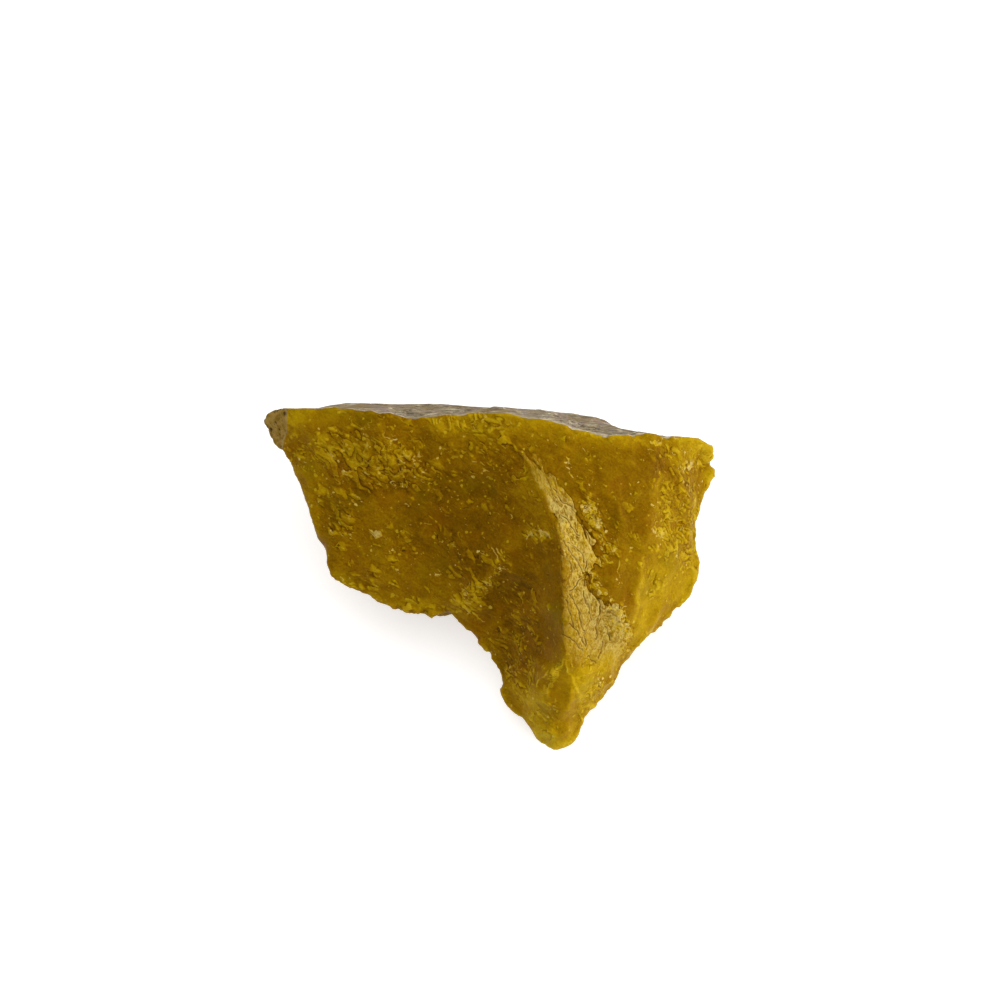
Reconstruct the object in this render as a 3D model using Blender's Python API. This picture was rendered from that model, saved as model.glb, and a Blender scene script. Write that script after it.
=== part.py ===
"""Rough topaz: one broken lump of cloudy yellow stone with a weathered rind, lying on a flat cleavage face.

Lengths are in millimetres here and become metres when the mesh is made. The stone is drawn in the frame of
its broad broken face: x runs along the rind edge to the right, y runs from the tip up to the rind, and z
comes out of the face. That frame then leans back on to the floor, so that the rind end stands highest and the
tip lies low.
"""

import math

import bmesh
import bpy
from mathutils import Matrix, Vector, noise
from mathutils.geometry import delaunay_2d_cdt
from mathutils.kdtree import KDTree

NAME = "rough_topaz"
MM = 0.001

LEAN = math.radians(22)  # how far the broad face is turned up from level
FACE_HEIGHT = 20.5  # of the face frame's origin above the floor

LONGEST_EDGE = 0.95  # of the fine mesh that is worn and roughened
TRIANGLES = 11000  # of the finished stone, before its base is cut flat
RELAX_ROUNDS = 4  # how far the cage's own creases are rounded off within a break
ARRIS_ROUNDS = 3  # the same along an arris, which stays sharp across
FRONT_BULGE = 0.35  # of a front facet that only touches the rim
BACK_BULGE = 1.6  # the same under the stone

# The roughness of a break: how far apart its forms lie, and how high or deep they are.
WAVE_SIZE, WAVE_HEIGHT = 9.0, 0.45  # slow swells
BEND_SIZE, BEND = 3.0, 0.8  # how the dents below are pulled out of round
SHELL_SIZE, SHELL_DEPTH = 5.2, 1.15  # shallow shell-shaped dents that meet in sharp ridges
FLAKE_SIZE, FLAKE_DEPTH = 1.9, 0.30  # the same again, small
FLAKY_SIZE = 7.0  # of the patches that have the small ones
CHIP_SIZE, CHIP_DEPTH = 2.6, 1.0  # bites out of the arrises and the rim
ARRIS_REACH = 2.4  # the roughness fades to ARRIS_SHARE this close to an arris
ARRIS_SHARE = 0.3

# Where the arrises meet the rim or each other, as x, y, z in the face frame.
KNOB_TOP = (-28.4, 12.3, -3.0)
KNOB_FOOT = (-29.2, 6.8, -6.6)
RIND_LEFT = (-23.9, 12.3, -1.7)
RIND_RIGHT = (18.3, 8.9, -0.8)
NOTCH = (-7.2, -15.1, -5.0)
LEFT_CORNER = (-22.7, -10.3, -7.0)
LEG_FOOT = (3.5, -29.6, -6.3)
TIP = (7.6, -33.2, -6.0)
TIP_SIDE = (12.0, -28.4, -5.6)
RIGHT_FOOT = (15.9, -22.9, -7.2)
RIGHT_CORNER = (26.4, -9.6, -8.5)
RIDGE_HEAD = (8.0, -4.9, 4.7)
TIP_APEX = (8.7, -21.6, 2.7)

# The rim is the stone's outline, clockwise as seen square on to the broad face.
KNOB_RIM = [
    (-31.5, 10.9, -8.0), (-30.8, 11.7, -7.0), (-29.7, 12.2, -5.0), KNOB_TOP, (-26.0, 12.4, -2.4), RIND_LEFT,
]  # fmt: skip
RIND_RIM = [
    (-23.4, 12.6, -6.0), (-21.9, 12.8, -9.5), (-20.7, 13.1, -13.0), (-16.0, 13.1, -17.0), (-9.3, 13.0, -18.5),
    (-2.7, 12.7, -18.5), (2.7, 12.3, -18.0), (6.7, 12.1, -17.0), (10.1, 11.8, -16.0), (12.3, 11.3, -15.0),
    (13.7, 10.8, -13.5), (15.1, 9.9, -11.5), (16.8, 9.4, -8.0), RIND_RIGHT,
]  # fmt: skip
RIGHT_RIM = [
    (21.3, 8.7, -2.0), (24.0, 8.5, -3.4), (26.7, 8.3, -5.2), (28.4, 7.2, -7.4), (28.0, 5.6, -8.0),
    (28.5, 4.6, -9.4), (28.4, 2.9, -9.4), (27.3, 0.9, -8.5), (26.5, -2.0, -8.0), (26.3, -6.0, -8.0),
    RIGHT_CORNER, (25.6, -12.3, -8.6), (22.8, -15.3, -8.2), (20.7, -17.3, -8.0), (17.5, -20.8, -7.6),
    RIGHT_FOOT,
]  # fmt: skip
TIP_RIM = [
    (14.8, -25.1, -6.8), (13.2, -26.9, -6.2), TIP_SIDE, (10.6, -30.6, -5.8), (9.6, -32.4, -5.9), TIP,
    (5.5, -32.1, -6.0), LEG_FOOT, (2.7, -29.0, -6.6), (1.1, -28.3, -7.0), (0.1, -25.3, -7.0),
    (0.0, -23.1, -6.8),
]  # fmt: skip
LEFT_RIM = [
    (-1.6, -20.5, -6.0), (-3.7, -17.6, -5.5), (-5.7, -15.9, -5.1), NOTCH, (-8.9, -15.6, -5.5),
    (-13.3, -14.7, -6.5), (-16.0, -13.8, -7.0), (-17.9, -12.3, -7.0), (-20.4, -11.9, -7.2), LEFT_CORNER,
    (-23.7, -6.3, -6.6), (-25.2, -2.4, -6.5), (-27.1, 2.7, -6.4), (-28.3, 5.3, -6.4), KNOB_FOOT,
    (-30.4, 8.3, -8.4),
]  # fmt: skip
RIM = KNOB_RIM + RIND_RIM + RIGHT_RIM + TIP_RIM + LEFT_RIM

# The arrises of the seen side. Each is a sharp line between two breaks.
FRONT_ARRISES = {
    "knob": [KNOB_TOP, (-28.5, 9.3, -4.4), KNOB_FOOT],
    "rind edge": [
        RIND_LEFT, (-19.2, 12.0, -0.8), (-16.3, 11.6, -0.3), (-13.3, 11.2, 0.1), (-9.2, 11.3, 0.5),
        (-5.7, 11.3, 0.8), (-3.7, 11.5, 1.0), (-0.4, 11.6, 1.3), (2.8, 11.2, 1.6), (6.3, 10.5, 1.8),
        (9.6, 9.5, 1.7), (12.0, 8.8, 1.4), (14.1, 8.4, 1.0), (16.5, 8.6, 0.2), RIND_RIGHT,
    ],
    "ridge": [
        (3.2, 5.9, 2.6), (4.3, 4.0, 3.2), (5.7, 1.3, 3.9), (6.9, -2.4, 4.4), RIDGE_HEAD, (8.3, -8.0, 4.8),
        (8.3, -14.7, 4.2), (8.5, -19.0, 3.2), TIP_APEX,
    ],
    "scoop lip": [
        RIDGE_HEAD, (3.2, -4.8, 2.1), (0.0, -7.5, 0.5), (-2.0, -11.3, -1.3), (-5.1, -13.7, -3.3), NOTCH,
    ],
    "leg": [TIP_APEX, (6.0, -23.5, 0.9), (4.8, -25.3, -1.2), LEG_FOOT],
    "tip keel": [(6.0, -23.5, 0.9), (6.4, -26.9, -1.0), (6.8, -30.6, -3.6), TIP],
    "tip side": [TIP_APEX, (10.0, -25.2, 0.4), TIP_SIDE],
    "right band": [
        (18.8, -8.4, 0.3), (18.5, -11.3, -0.2), (17.9, -14.7, -1.0), (17.1, -18.0, -2.4), RIGHT_FOOT,
    ],
}  # fmt: skip

# Places within the breaks of the seen side, which give them their hollows and swells.
LEFT_BREAK = [
    (-22.7, 8.0, -2.8), (-25.3, 3.6, -4.9), (-20.0, 0.0, -4.3), (-20.7, -6.7, -5.7), (-13.3, 4.0, -2.2),
    (-13.3, -5.3, -4.4), (-15.3, -10.7, -5.8), (-9.3, 0.0, -2.2), (-8.0, -8.0, -3.6), (-9.3, -12.7, -4.7),
    (-5.3, 6.7, 0.0), (-3.3, -2.7, -0.5), (0.0, 2.7, 1.3), (0.7, 8.0, 1.6),
]  # fmt: skip
SCOOP = [
    (6.2, -8.2, 2.3), (4.6, -12.2, -0.2), (5.6, -16.8, 0.4), (1.0, -12.5, -2.2), (1.6, -18.0, -3.8),
    (4.6, -20.8, -1.6),
]  # fmt: skip
GLOSS_BREAK = [
    (10.0, -2.4, 3.2), (12.0, -5.7, 2.4), (12.6, -10.0, 1.8), (13.0, -14.0, 1.2), (14.4, -18.0, -1.0),
]  # fmt: skip
MIDDLE_BREAK = [(9.3, 5.3, 2.4), (13.3, 5.5, 1.6), (15.6, 0.4, 1.4), (16.4, -4.4, 1.0), (17.4, 4.4, 0.8)]
RIGHT_BREAK = [
    (20.6, 4.0, -0.2), (20.4, -1.0, 0.2), (19.8, -5.2, 0.3), (24.0, 4.4, -3.6), (23.4, -2.4, -3.2),
    (22.6, -8.6, -3.2), (21.4, -13.0, -4.8), (18.6, -18.4, -4.6),
]  # fmt: skip
TIP_BREAK = [
    (3.6, -24.4, -3.6), (4.6, -28.4, -4.2), (12.2, -23.6, 0.0), (13.2, -21.0, -0.6), (9.0, -29.0, -1.8),
]  # fmt: skip
FRONT_PLACES = LEFT_BREAK + SCOOP + GLOSS_BREAK + MIDDLE_BREAK + RIGHT_BREAK + TIP_BREAK

# The hidden side, as x, y, z above the floor. The base corners lie just under the floor, which cuts them off.
BASE_LEFT_BACK = (-17.5, 12.0, -1.5)
BASE_LEFT = (-15.5, -3.0, -1.5)
BASE_NOTCH = (-3.0, -8.0, -1.5)
BASE_LEG = (3.5, -19.0, -1.5)
BASE_TIP = (9.0, -21.0, -1.5)
BASE_RIGHT = (17.0, -9.5, -1.5)
BASE_RIGHT_BACK = (20.0, 4.0, -1.5)
BASE_BACK = (11.0, 13.0, -1.5)
BACK_SHOULDER = (-6.0, 17.4, 4.5)
BACK_ARRISES = {
    "base": [
        BASE_LEFT_BACK, BASE_LEFT, BASE_NOTCH, BASE_LEG, BASE_TIP, BASE_RIGHT, BASE_RIGHT_BACK, BASE_BACK,
        BASE_LEFT_BACK,
    ],
}  # fmt: skip
BACK_PLACES = [
    BACK_SHOULDER, (-23.5, 8.0, 6.5), (-22.0, -1.0, 6.0), (-13.0, -9.0, 4.5), (23.0, -6.0, 4.5),
    (25.0, 3.0, 6.5), (16.5, 12.5, 5.0), (4.0, -10.0, -1.5), (2.0, 4.0, -1.5), (-26.0, 13.0, 12.5),
    (-27.0, 10.3, 12.0), (25.6, 10.8, 12.0),
]  # fmt: skip


def face_to_floor():
    """The matrix that takes the face frame to the floor's frame."""
    return Matrix.Translation((0, 0, FACE_HEIGHT)) @ Matrix.Rotation(LEAN, 4, "X")


def in_face_frame(point):
    """A point above the floor, in the frame of the broad face."""
    return tuple(face_to_floor().inverted() @ Vector(point))


def cage_sheet(rim, arrises, places, bulge):
    """One side of the stone: a cage of triangles between its rim, its arrises and the places in its breaks.

    The arrises are marked as seams. An edge that crosses from rim to rim is split and pushed out by bulge, so
    that the two sides meet at the rim alone.
    """
    lines = [list(zip(rim, rim[1:] + rim[:1]))]
    lines += [list(zip(line, line[1:])) for line in arrises.values()]
    points = list(dict.fromkeys([p for line in lines for edge in line for p in edge] + places))
    index = {point: i for i, point in enumerate(points)}
    edges = [(index[a], index[b]) for line in lines for a, b in line]
    flat = [Vector(point[:2]) for point in points]
    inside_outline = 1
    _, _, faces, sources, _, _ = delaunay_2d_cdt(flat, edges, [], inside_outline, 1e-6)

    sheet = bmesh.new()
    verts = [sheet.verts.new(point) for point in points]
    for face in faces:
        sheet.faces.new([verts[sources[i][0]] for i in face])
    for a, b in edges:
        sheet.edges.get((verts[a], verts[b])).seam = True
    on_rim = set(verts[: len(rim)])
    chords = [e for e in sheet.edges if not e.is_boundary and on_rim.issuperset(e.verts)]
    made = bmesh.ops.subdivide_edges(sheet, edges=chords, cuts=1)
    for vert in {item for item in made["geom_inner"] if isinstance(item, bmesh.types.BMVert)}:
        vert.co.z += bulge
    bmesh.ops.triangulate(sheet, faces=sheet.faces)
    return sheet


def joined(front, back):
    """Both sides as one closed mesh, sewn together along the rim."""
    for face in back.faces:
        face.normal_flip()
    whole = bmesh.new()
    for sheet in (front, back):
        mesh = bpy.data.meshes.new("sheet")
        sheet.to_mesh(mesh)
        sheet.free()
        whole.from_mesh(mesh)
        bpy.data.meshes.remove(mesh)
    bmesh.ops.remove_doubles(whole, verts=whole.verts, dist=1e-4)
    bmesh.ops.recalc_face_normals(whole, faces=whole.faces)
    return whole


def refine(stone):
    """Splits every long edge until the mesh is fine enough to be worn and roughened."""
    while long_edges := [e for e in stone.edges if e.calc_length() > LONGEST_EDGE]:
        bmesh.ops.subdivide_edges(stone, edges=long_edges, cuts=1)
        bmesh.ops.triangulate(stone, faces=[f for f in stone.faces if len(f.verts) > 3])
        inner = [e for e in stone.edges if not e.seam]
        bmesh.ops.beautify_fill(stone, faces=stone.faces, edges=inner, method="ANGLE")


def relax(stone):
    """Rounds the cage's creases off within each break, and the corners along each arris."""
    for step in range(RELAX_ROUNDS):
        moves = {}
        for vert in stone.verts:
            seams = [e for e in vert.link_edges if e.seam]
            if not seams:
                around = [e.other_vert(vert).co for e in vert.link_edges]
            elif len(seams) == 2 and step < ARRIS_ROUNDS:
                around = [e.other_vert(vert).co for e in seams]
            else:
                continue
            moves[vert] = vert.co.lerp(sum(around, Vector()) / len(around), 0.5)
        for vert, place in moves.items():
            vert.co = place


def drift_at(point):
    """A smooth vector that differs from place to place."""
    return Vector([noise.noise(point + Vector((0, 0, 40 * axis))) for axis in range(3)])


def shell_at(point, size):
    """How high a point stands in its shell-shaped dent: less than 0 in the middle, and more at its ridge."""
    distances, _ = noise.voronoi(point / size)
    return distances[0] ** 2 - 0.25


def roughness_at(point):
    """How far the broken surface stands out at a point: slow waves, shell-shaped dents and small flakes."""
    waves = WAVE_HEIGHT * noise.noise(point / WAVE_SIZE)
    bent = point + BEND * drift_at(point / BEND_SIZE)
    shells = SHELL_DEPTH * shell_at(bent, SHELL_SIZE)
    flaky = max(0.0, min(1.0, 0.5 + 2.0 * noise.noise(point / FLAKY_SIZE)))
    flakes = flaky * FLAKE_DEPTH * shell_at(bent, FLAKE_SIZE)
    return waves + shells + flakes


def chip_at(point):
    """How deep an arris is chipped at a point."""
    return CHIP_DEPTH * max(0.0, noise.noise(point / CHIP_SIZE) - 0.15)


def roughen(stone):
    """Moves the surface in and out by its roughness, which fades towards the arrises, and chips those."""
    arris_verts = [vert for vert in stone.verts if any(e.seam for e in vert.link_edges)]
    nearest = KDTree(len(arris_verts))
    for i, vert in enumerate(arris_verts):
        nearest.insert(vert.co, i)
    nearest.balance()
    stone.normal_update()
    moves = []
    for vert in stone.verts:
        _, _, distance = nearest.find(vert.co)
        near = max(0.0, 1 - distance / ARRIS_REACH)
        share = 1 - (1 - ARRIS_SHARE) * near
        moves.append(vert.normal * (share * roughness_at(vert.co) - near**2 * chip_at(vert.co)))
    for vert, move in zip(stone.verts, moves):
        vert.co += move


def mesh_object(name, source, collection):
    """A new object in a collection, from a bmesh in millimetres."""
    bmesh.ops.scale(source, vec=(MM, MM, MM), verts=source.verts)
    mesh = bpy.data.meshes.new(name)
    source.to_mesh(mesh)
    source.free()
    made = bpy.data.objects.new(name, mesh)
    collection.objects.link(made)
    return made


def floor_cutter(collection):
    """A block whose top is the floor. It cuts the flat cleavage face that the stone lies on."""
    side, depth = 120 * MM, 30 * MM
    bpy.ops.mesh.primitive_cube_add(size=1, location=(0, 0, -depth / 2))
    cutter = bpy.context.object
    cutter.name = "floor_cutter"
    cutter.scale = (side, side, depth)
    bpy.ops.object.transform_apply(location=True, rotation=False, scale=True)
    for old in list(cutter.users_collection):
        old.objects.unlink(cutter)
    collection.objects.link(cutter)
    cutter.hide_render = True
    cutter.display_type = "WIRE"
    return cutter


def baked(stone):
    """Turns the stone's modifiers into its own mesh."""
    graph = bpy.context.evaluated_depsgraph_get()
    mesh = bpy.data.meshes.new_from_object(stone.evaluated_get(graph))
    stone.modifiers.clear()
    stone.data = mesh


def centre_on_base(stone):
    """Puts the origin on the floor, under the middle of the stone's box."""
    points = [vert.co for vert in stone.data.vertices]
    middle_x = (min(p.x for p in points) + max(p.x for p in points)) / 2
    middle_y = (min(p.y for p in points) + max(p.y for p in points)) / 2
    stone.data.transform(Matrix.Translation((-middle_x, -middle_y, 0)))


def topaz_material():
    """Cloudy, waxy yellow."""
    material = bpy.data.materials.new("cloudy_topaz")
    material.use_nodes = True
    shader = material.node_tree.nodes["Principled BSDF"]
    shader.inputs["Base Color"].default_value = (0.30, 0.17, 0.006, 1)
    shader.inputs["Roughness"].default_value = 0.35
    shader.inputs["Metallic"].default_value = 0.0
    return material


def collection_named(name):
    """A new collection in the scene."""
    made = bpy.data.collections.new(name)
    bpy.context.scene.collection.children.link(made)
    return made


def build_stone(parts, cutters):
    """The whole stone: cage, breaks, roughness, and then the flat face that it lies on."""
    back_arrises = {name: [in_face_frame(p) for p in line] for name, line in BACK_ARRISES.items()}
    back_places = [in_face_frame(p) for p in BACK_PLACES]
    front = cage_sheet(RIM, FRONT_ARRISES, FRONT_PLACES, FRONT_BULGE)
    back = cage_sheet(RIM, back_arrises, back_places, -BACK_BULGE)
    whole = joined(front, back)
    refine(whole)
    relax(whole)
    roughen(whole)
    bmesh.ops.transform(whole, matrix=face_to_floor(), verts=whole.verts)
    fine_triangles = len(whole.faces)

    stone = mesh_object(NAME, whole, parts)
    stone.data.materials.append(topaz_material())
    decimate = stone.modifiers.new("fewer triangles", "DECIMATE")
    decimate.ratio = TRIANGLES / fine_triangles
    cut = stone.modifiers.new("cleavage base", "BOOLEAN")
    cut.operation = "DIFFERENCE"
    cut.object = floor_cutter(cutters)
    baked(stone)
    centre_on_base(stone)
    stone.data.shade_smooth()
    stone.data.set_sharp_from_angle(angle=math.radians(32))


def main():
    for old in list(bpy.data.objects):
        bpy.data.objects.remove(old)
    build_stone(collection_named(NAME), collection_named("cutters"))


main()
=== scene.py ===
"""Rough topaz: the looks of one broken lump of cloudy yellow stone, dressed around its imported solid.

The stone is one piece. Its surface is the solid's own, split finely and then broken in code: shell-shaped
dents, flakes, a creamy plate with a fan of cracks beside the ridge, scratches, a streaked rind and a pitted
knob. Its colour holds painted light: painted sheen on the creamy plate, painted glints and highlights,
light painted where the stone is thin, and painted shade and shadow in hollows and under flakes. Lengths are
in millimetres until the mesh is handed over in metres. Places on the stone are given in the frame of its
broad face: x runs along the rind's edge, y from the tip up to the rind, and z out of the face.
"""

import logging
import math
from collections.abc import Mapping, Sequence
from dataclasses import dataclass, field
from enum import Enum
from typing import Union

import bmesh
import bpy
import numpy as np
import numpy.typing as npt
from mathutils import Matrix, Vector, noise
from mathutils.bvhtree import BVHTree


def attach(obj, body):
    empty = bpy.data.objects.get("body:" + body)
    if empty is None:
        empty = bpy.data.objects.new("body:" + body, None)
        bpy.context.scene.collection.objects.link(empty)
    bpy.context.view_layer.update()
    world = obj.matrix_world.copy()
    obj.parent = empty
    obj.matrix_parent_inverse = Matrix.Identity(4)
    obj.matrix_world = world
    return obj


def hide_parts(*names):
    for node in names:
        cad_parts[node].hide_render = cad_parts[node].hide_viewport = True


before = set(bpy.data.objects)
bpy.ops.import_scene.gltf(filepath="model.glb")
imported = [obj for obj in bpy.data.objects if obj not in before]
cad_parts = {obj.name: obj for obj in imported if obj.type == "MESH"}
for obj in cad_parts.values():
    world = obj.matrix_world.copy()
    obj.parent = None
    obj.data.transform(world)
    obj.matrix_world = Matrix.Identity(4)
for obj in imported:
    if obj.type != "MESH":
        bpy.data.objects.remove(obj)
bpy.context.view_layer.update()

LOG = logging.getLogger("rough_topaz")
MM = 0.001

# The sockets of a Mix node that hold its share and its colours. Its other sockets have the same names.
MIX_SHARE, MIX_FIRST_COLOUR, MIX_SECOND_COLOUR, MIX_COLOUR_OUT = 0, 6, 7, 2

Floats = npt.NDArray[np.float64]
Ints = npt.NDArray[np.int64]
Bools = npt.NDArray[np.bool_]
Place = tuple[float, float]
# Two values of a measure between which something comes in: it is 0 at the first and 1 at the second.
Span = tuple[float, float]
# How far points are pushed about, and how far apart the swells of that push lie, in millimetres.
Bend = tuple[float, float]
Colour = tuple[float, float, float, float]
Operand = Union["Value", float, Sequence[float]]


def tint(code: str) -> Colour:
    """A colour from its web code, in the form that shaders take.

    Args:
        code: two hexadecimal digits each for red, green and blue.

    Returns:
        Its linear red, green, blue and alpha.
    """
    # Web codes follow the curve of the sRGB standard, whose numbers these are.
    parts = [int(code[i : i + 2], 16) / 255 for i in (0, 2, 4)]
    red, green, blue = [c / 12.92 if c <= 0.04045 else ((c + 0.055) / 1.055) ** 2.4 for c in parts]
    return (red, green, blue, 1.0)


def eased(values: Floats, low: float, high: float) -> Floats:
    """Values turned to 0 below low and 1 above high, with a soft S between. Low may be the greater."""
    share = np.clip((values - low) / (high - low), 0.0, 1.0)
    return share * share * (3 - 2 * share)


# --------------------------------------------------------------------------------------------------
# The frame of the broad face, and the shapes drawn on it
# --------------------------------------------------------------------------------------------------


@dataclass(frozen=True)
class FacePlane:
    """The frame of the broad face, leaning back above the floor. Its origin is in millimetres."""

    lean_deg: float = 22.0
    origin: tuple[float, float, float] = (1.44, 4.74, 20.5)

    def matrix(self) -> Matrix:
        """The matrix from the face's frame to the floor's, in millimetres."""
        return Matrix.Translation(self.origin) @ Matrix.Rotation(math.radians(self.lean_deg), 4, "X")

    def places(self, points: Floats) -> Floats:
        """Points above the floor, in the face's frame."""
        back = np.array(self.matrix().inverted())
        return points @ back[:3, :3].T + back[:3, 3]

    def directions(self, vectors: Floats) -> Floats:
        """Directions above the floor, in the face's frame."""
        return vectors @ np.array(self.matrix().inverted())[:3, :3].T


@dataclass(frozen=True)
class Trace:
    """A line of straight runs drawn on the broad face."""

    places: tuple[Place, ...]

    def away(self, points: Floats) -> Floats:
        """How far each point lies from the line, seen square on to the face.

        Args:
            points: places in the face's frame.

        Returns:
            One distance a point, in millimetres.
        """
        nearest = np.full(len(points), np.inf)
        for start, end in zip(self.places, self.places[1:]):
            a, run = np.array(start), np.array(end) - np.array(start)
            along = np.clip((points[:, :2] - a) @ run / (run @ run), 0.0, 1.0)
            gap = np.linalg.norm(points[:, :2] - a - along[:, None] * run, axis=1)
            nearest = np.minimum(nearest, gap)
        return nearest

    def right_of(self, points: Floats) -> Floats:
        """How far each point lies to the right of a line that runs up and down.

        Args:
            points: places in the face's frame.

        Returns:
            One distance a point, in millimetres. It is negative on the left.
        """
        ordered = sorted(self.places, key=lambda place: place[1])
        line = np.interp(points[:, 1], [p[1] for p in ordered], [p[0] for p in ordered])
        return points[:, 0] - line

    def above(self, points: Floats) -> Floats:
        """How far each point lies above a line that runs from left to right."""
        line = np.interp(points[:, 0], [p[0] for p in self.places], [p[1] for p in self.places])
        return points[:, 1] - line


@dataclass(frozen=True)
class Outline(Trace):
    """A closed shape drawn on the broad face."""

    def depth(self, points: Floats) -> Floats:
        """How far each point lies inside the outline.

        Args:
            points: places in the face's frame.

        Returns:
            One distance a point, in millimetres. It is negative outside.
        """
        x, y = points[:, 0], points[:, 1]
        inside = np.zeros(len(points), bool)
        corners = self.places
        for (ax, ay), (bx, by) in zip(corners, corners[1:] + corners[:1]):
            if ay == by:
                continue
            crosses = (ay > y) != (by > y)
            inside ^= crosses & (x < ax + (y - ay) * (bx - ax) / (by - ay))
        gap = Trace(corners + corners[:1]).away(points)
        return np.where(inside, gap, -gap)


@dataclass(frozen=True)
class Patch:
    """An oval patch on the broad face, turned by an angle, which adds or takes away some of one thing.

    It holds in full up to its core, and not at all from its rim. Both are given in reaches from its centre.
    """

    centre: Place
    reach: Place
    turn_deg: float = 0.0
    strength: float = 1.0
    core: float = 0.5
    rim: float = 1.35

    def share(self, points: Floats) -> Floats:
        """How strongly the patch holds at each point.

        Args:
            points: places in the face's frame.

        Returns:
            One value a point, from 0 up to the patch's strength.
        """
        turn = math.radians(self.turn_deg)
        across, up = points[:, 0] - self.centre[0], points[:, 1] - self.centre[1]
        u = (across * math.cos(turn) + up * math.sin(turn)) / self.reach[0]
        v = (up * math.cos(turn) - across * math.sin(turn)) / self.reach[1]
        return self.strength * eased(np.hypot(u, v), self.rim, self.core)


class Field(Enum):
    """What is stored for each point of the surface, for the finish to read.

    RIND, KNOB, SHEEN, BAND, TIP, SCOOP and TOP are depths inside a region, in millimetres. STEPS counts up
    through the flakes, and SHOWN is above 0 where they show. The rest are shares from 0 to 1, apart from
    SHADE, painted light and shade, and RELIEF_SHADING, painted light on crests and painted shade in pits,
    which also go below 0.
    """

    RIND = "rind"
    BRINK = "brink"
    KNOB = "knob"
    SHEEN = "sheen"
    RIDGE = "ridge"
    BAND = "band"
    TIP = "tip"
    SCOOP = "scoop"
    TOP = "top"
    SHADE = "shade"
    PALE = "pale"
    EDGE_HIGHLIGHT = "seam"
    MILK = "milk"
    DENSE = "dense"
    SHOWN = "shown"
    STEPS = "steps"
    THIN = "thin"
    RELIEF_SHADING = "relief_shading"
    CRACK = "crack"
    SCRATCH = "scratch"


# --------------------------------------------------------------------------------------------------
# The surface, as arrays
# --------------------------------------------------------------------------------------------------


def waves(points: Floats, size: float, seed: float) -> Floats:
    """Smooth noise at each point.

    Args:
        points: places in millimetres.
        size: how far apart its swells lie.
        seed: a shift that gives another pattern.

    Returns:
        One value a point, from about -1 to 1.
    """
    return np.array([noise.noise(p) for p in (points / size + seed).tolist()])


def cells(points: Floats, size: float, seed: float) -> tuple[Floats, Floats]:
    """Cell noise at each point.

    Args:
        points: places in millimetres.
        size: how far apart the cells lie.
        seed: a shift that gives another pattern.

    Returns:
        How far each point is from the nearest cell's middle and from the next one's, in cell sizes.
    """
    found = [noise.voronoi(p)[0][:2] for p in (points / size + seed).tolist()]
    near, far = np.array(found).T
    return near, far


def stretched(points: Floats, turn_deg: float, length: float) -> Floats:
    """Points in a frame where marks come out longer along one direction of the broad face.

    Args:
        points: places in millimetres.
        turn_deg: that direction's angle from the x axis.
        length: how many times longer.

    Returns:
        The points, turned so that the direction is x, and squeezed along it.
    """
    turn = np.array(Matrix.Rotation(math.radians(-turn_deg), 3, "Z"))
    return points @ turn.T / np.array([length, 1.0, 1.0])


@dataclass
class Skin:
    """The stone's surface as arrays: its points in millimetres, their normals, and the edges between them.

    links counts the edges that meet at each point.
    """

    mesh: bpy.types.Mesh
    points: Floats = field(init=False)
    normals: Floats = field(init=False)
    edges: Ints = field(init=False)
    links: Floats = field(init=False)

    def __post_init__(self) -> None:
        """Reads the mesh."""
        count = len(self.mesh.vertices)
        flat = np.empty(count * 3)
        self.mesh.vertices.foreach_get("co", flat)
        self.points = flat.reshape(count, 3)
        pairs = np.empty(len(self.mesh.edges) * 2, int)
        self.mesh.edges.foreach_get("vertices", pairs)
        self.edges = pairs.reshape(-1, 2)
        self.links = np.bincount(pairs, minlength=count).astype(float)
        self.read_normals()

    def read_normals(self) -> None:
        """Works the normals out again from the mesh as it now stands."""
        flat = np.empty(len(self.points) * 3)
        self.mesh.vertex_normals.foreach_get("vector", flat)
        self.normals = flat.reshape(-1, 3)

    def place(self, points: Floats) -> None:
        """Moves every point of the mesh to a new place.

        Args:
            points: the new places, in millimetres.
        """
        self.points = points
        self.mesh.vertices.foreach_set("co", points.ravel())
        self.mesh.update()
        self.read_normals()

    def raise_by(self, heights: Floats) -> None:
        """Moves every point out along its normal by its own height."""
        self.place(self.points + self.normals * heights[:, None])

    def blurred(self, values: Floats, rounds: int) -> Floats:
        """Values averaged with their neighbours' over some rounds.

        Args:
            values: one value or one row of values a point.
            rounds: how many times they are averaged.

        Returns:
            The averaged values, in the same form.
        """
        made = values.reshape(len(values), -1).astype(float)
        first, second = self.edges.T
        for _ in range(rounds):
            for column in range(made.shape[1]):
                v = made[:, column]
                around = np.bincount(first, v[second], len(v)) + np.bincount(second, v[first], len(v))
                made[:, column] = (v + around) / (1 + self.links)
        return made.reshape(values.shape)

    def softened(self, rounds: int) -> Floats:
        """The points smoothed over some rounds, without drawing them in."""
        smooth = self.blurred(self.points, rounds)
        return smooth + self.blurred(self.points - smooth, rounds)

    def crests(self, rounds: int) -> Floats:
        """How far each point stands out from the surface around it, in millimetres."""
        return np.sum((self.points - self.blurred(self.points, rounds)) * self.normals, axis=1)

    def write(self, name: Field, values: Floats) -> None:
        """Stores one value a point on the mesh."""
        layer = self.mesh.attributes.new(name.value, "FLOAT", "POINT")
        layer.data.foreach_set("value", values.astype(np.float32))


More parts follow.
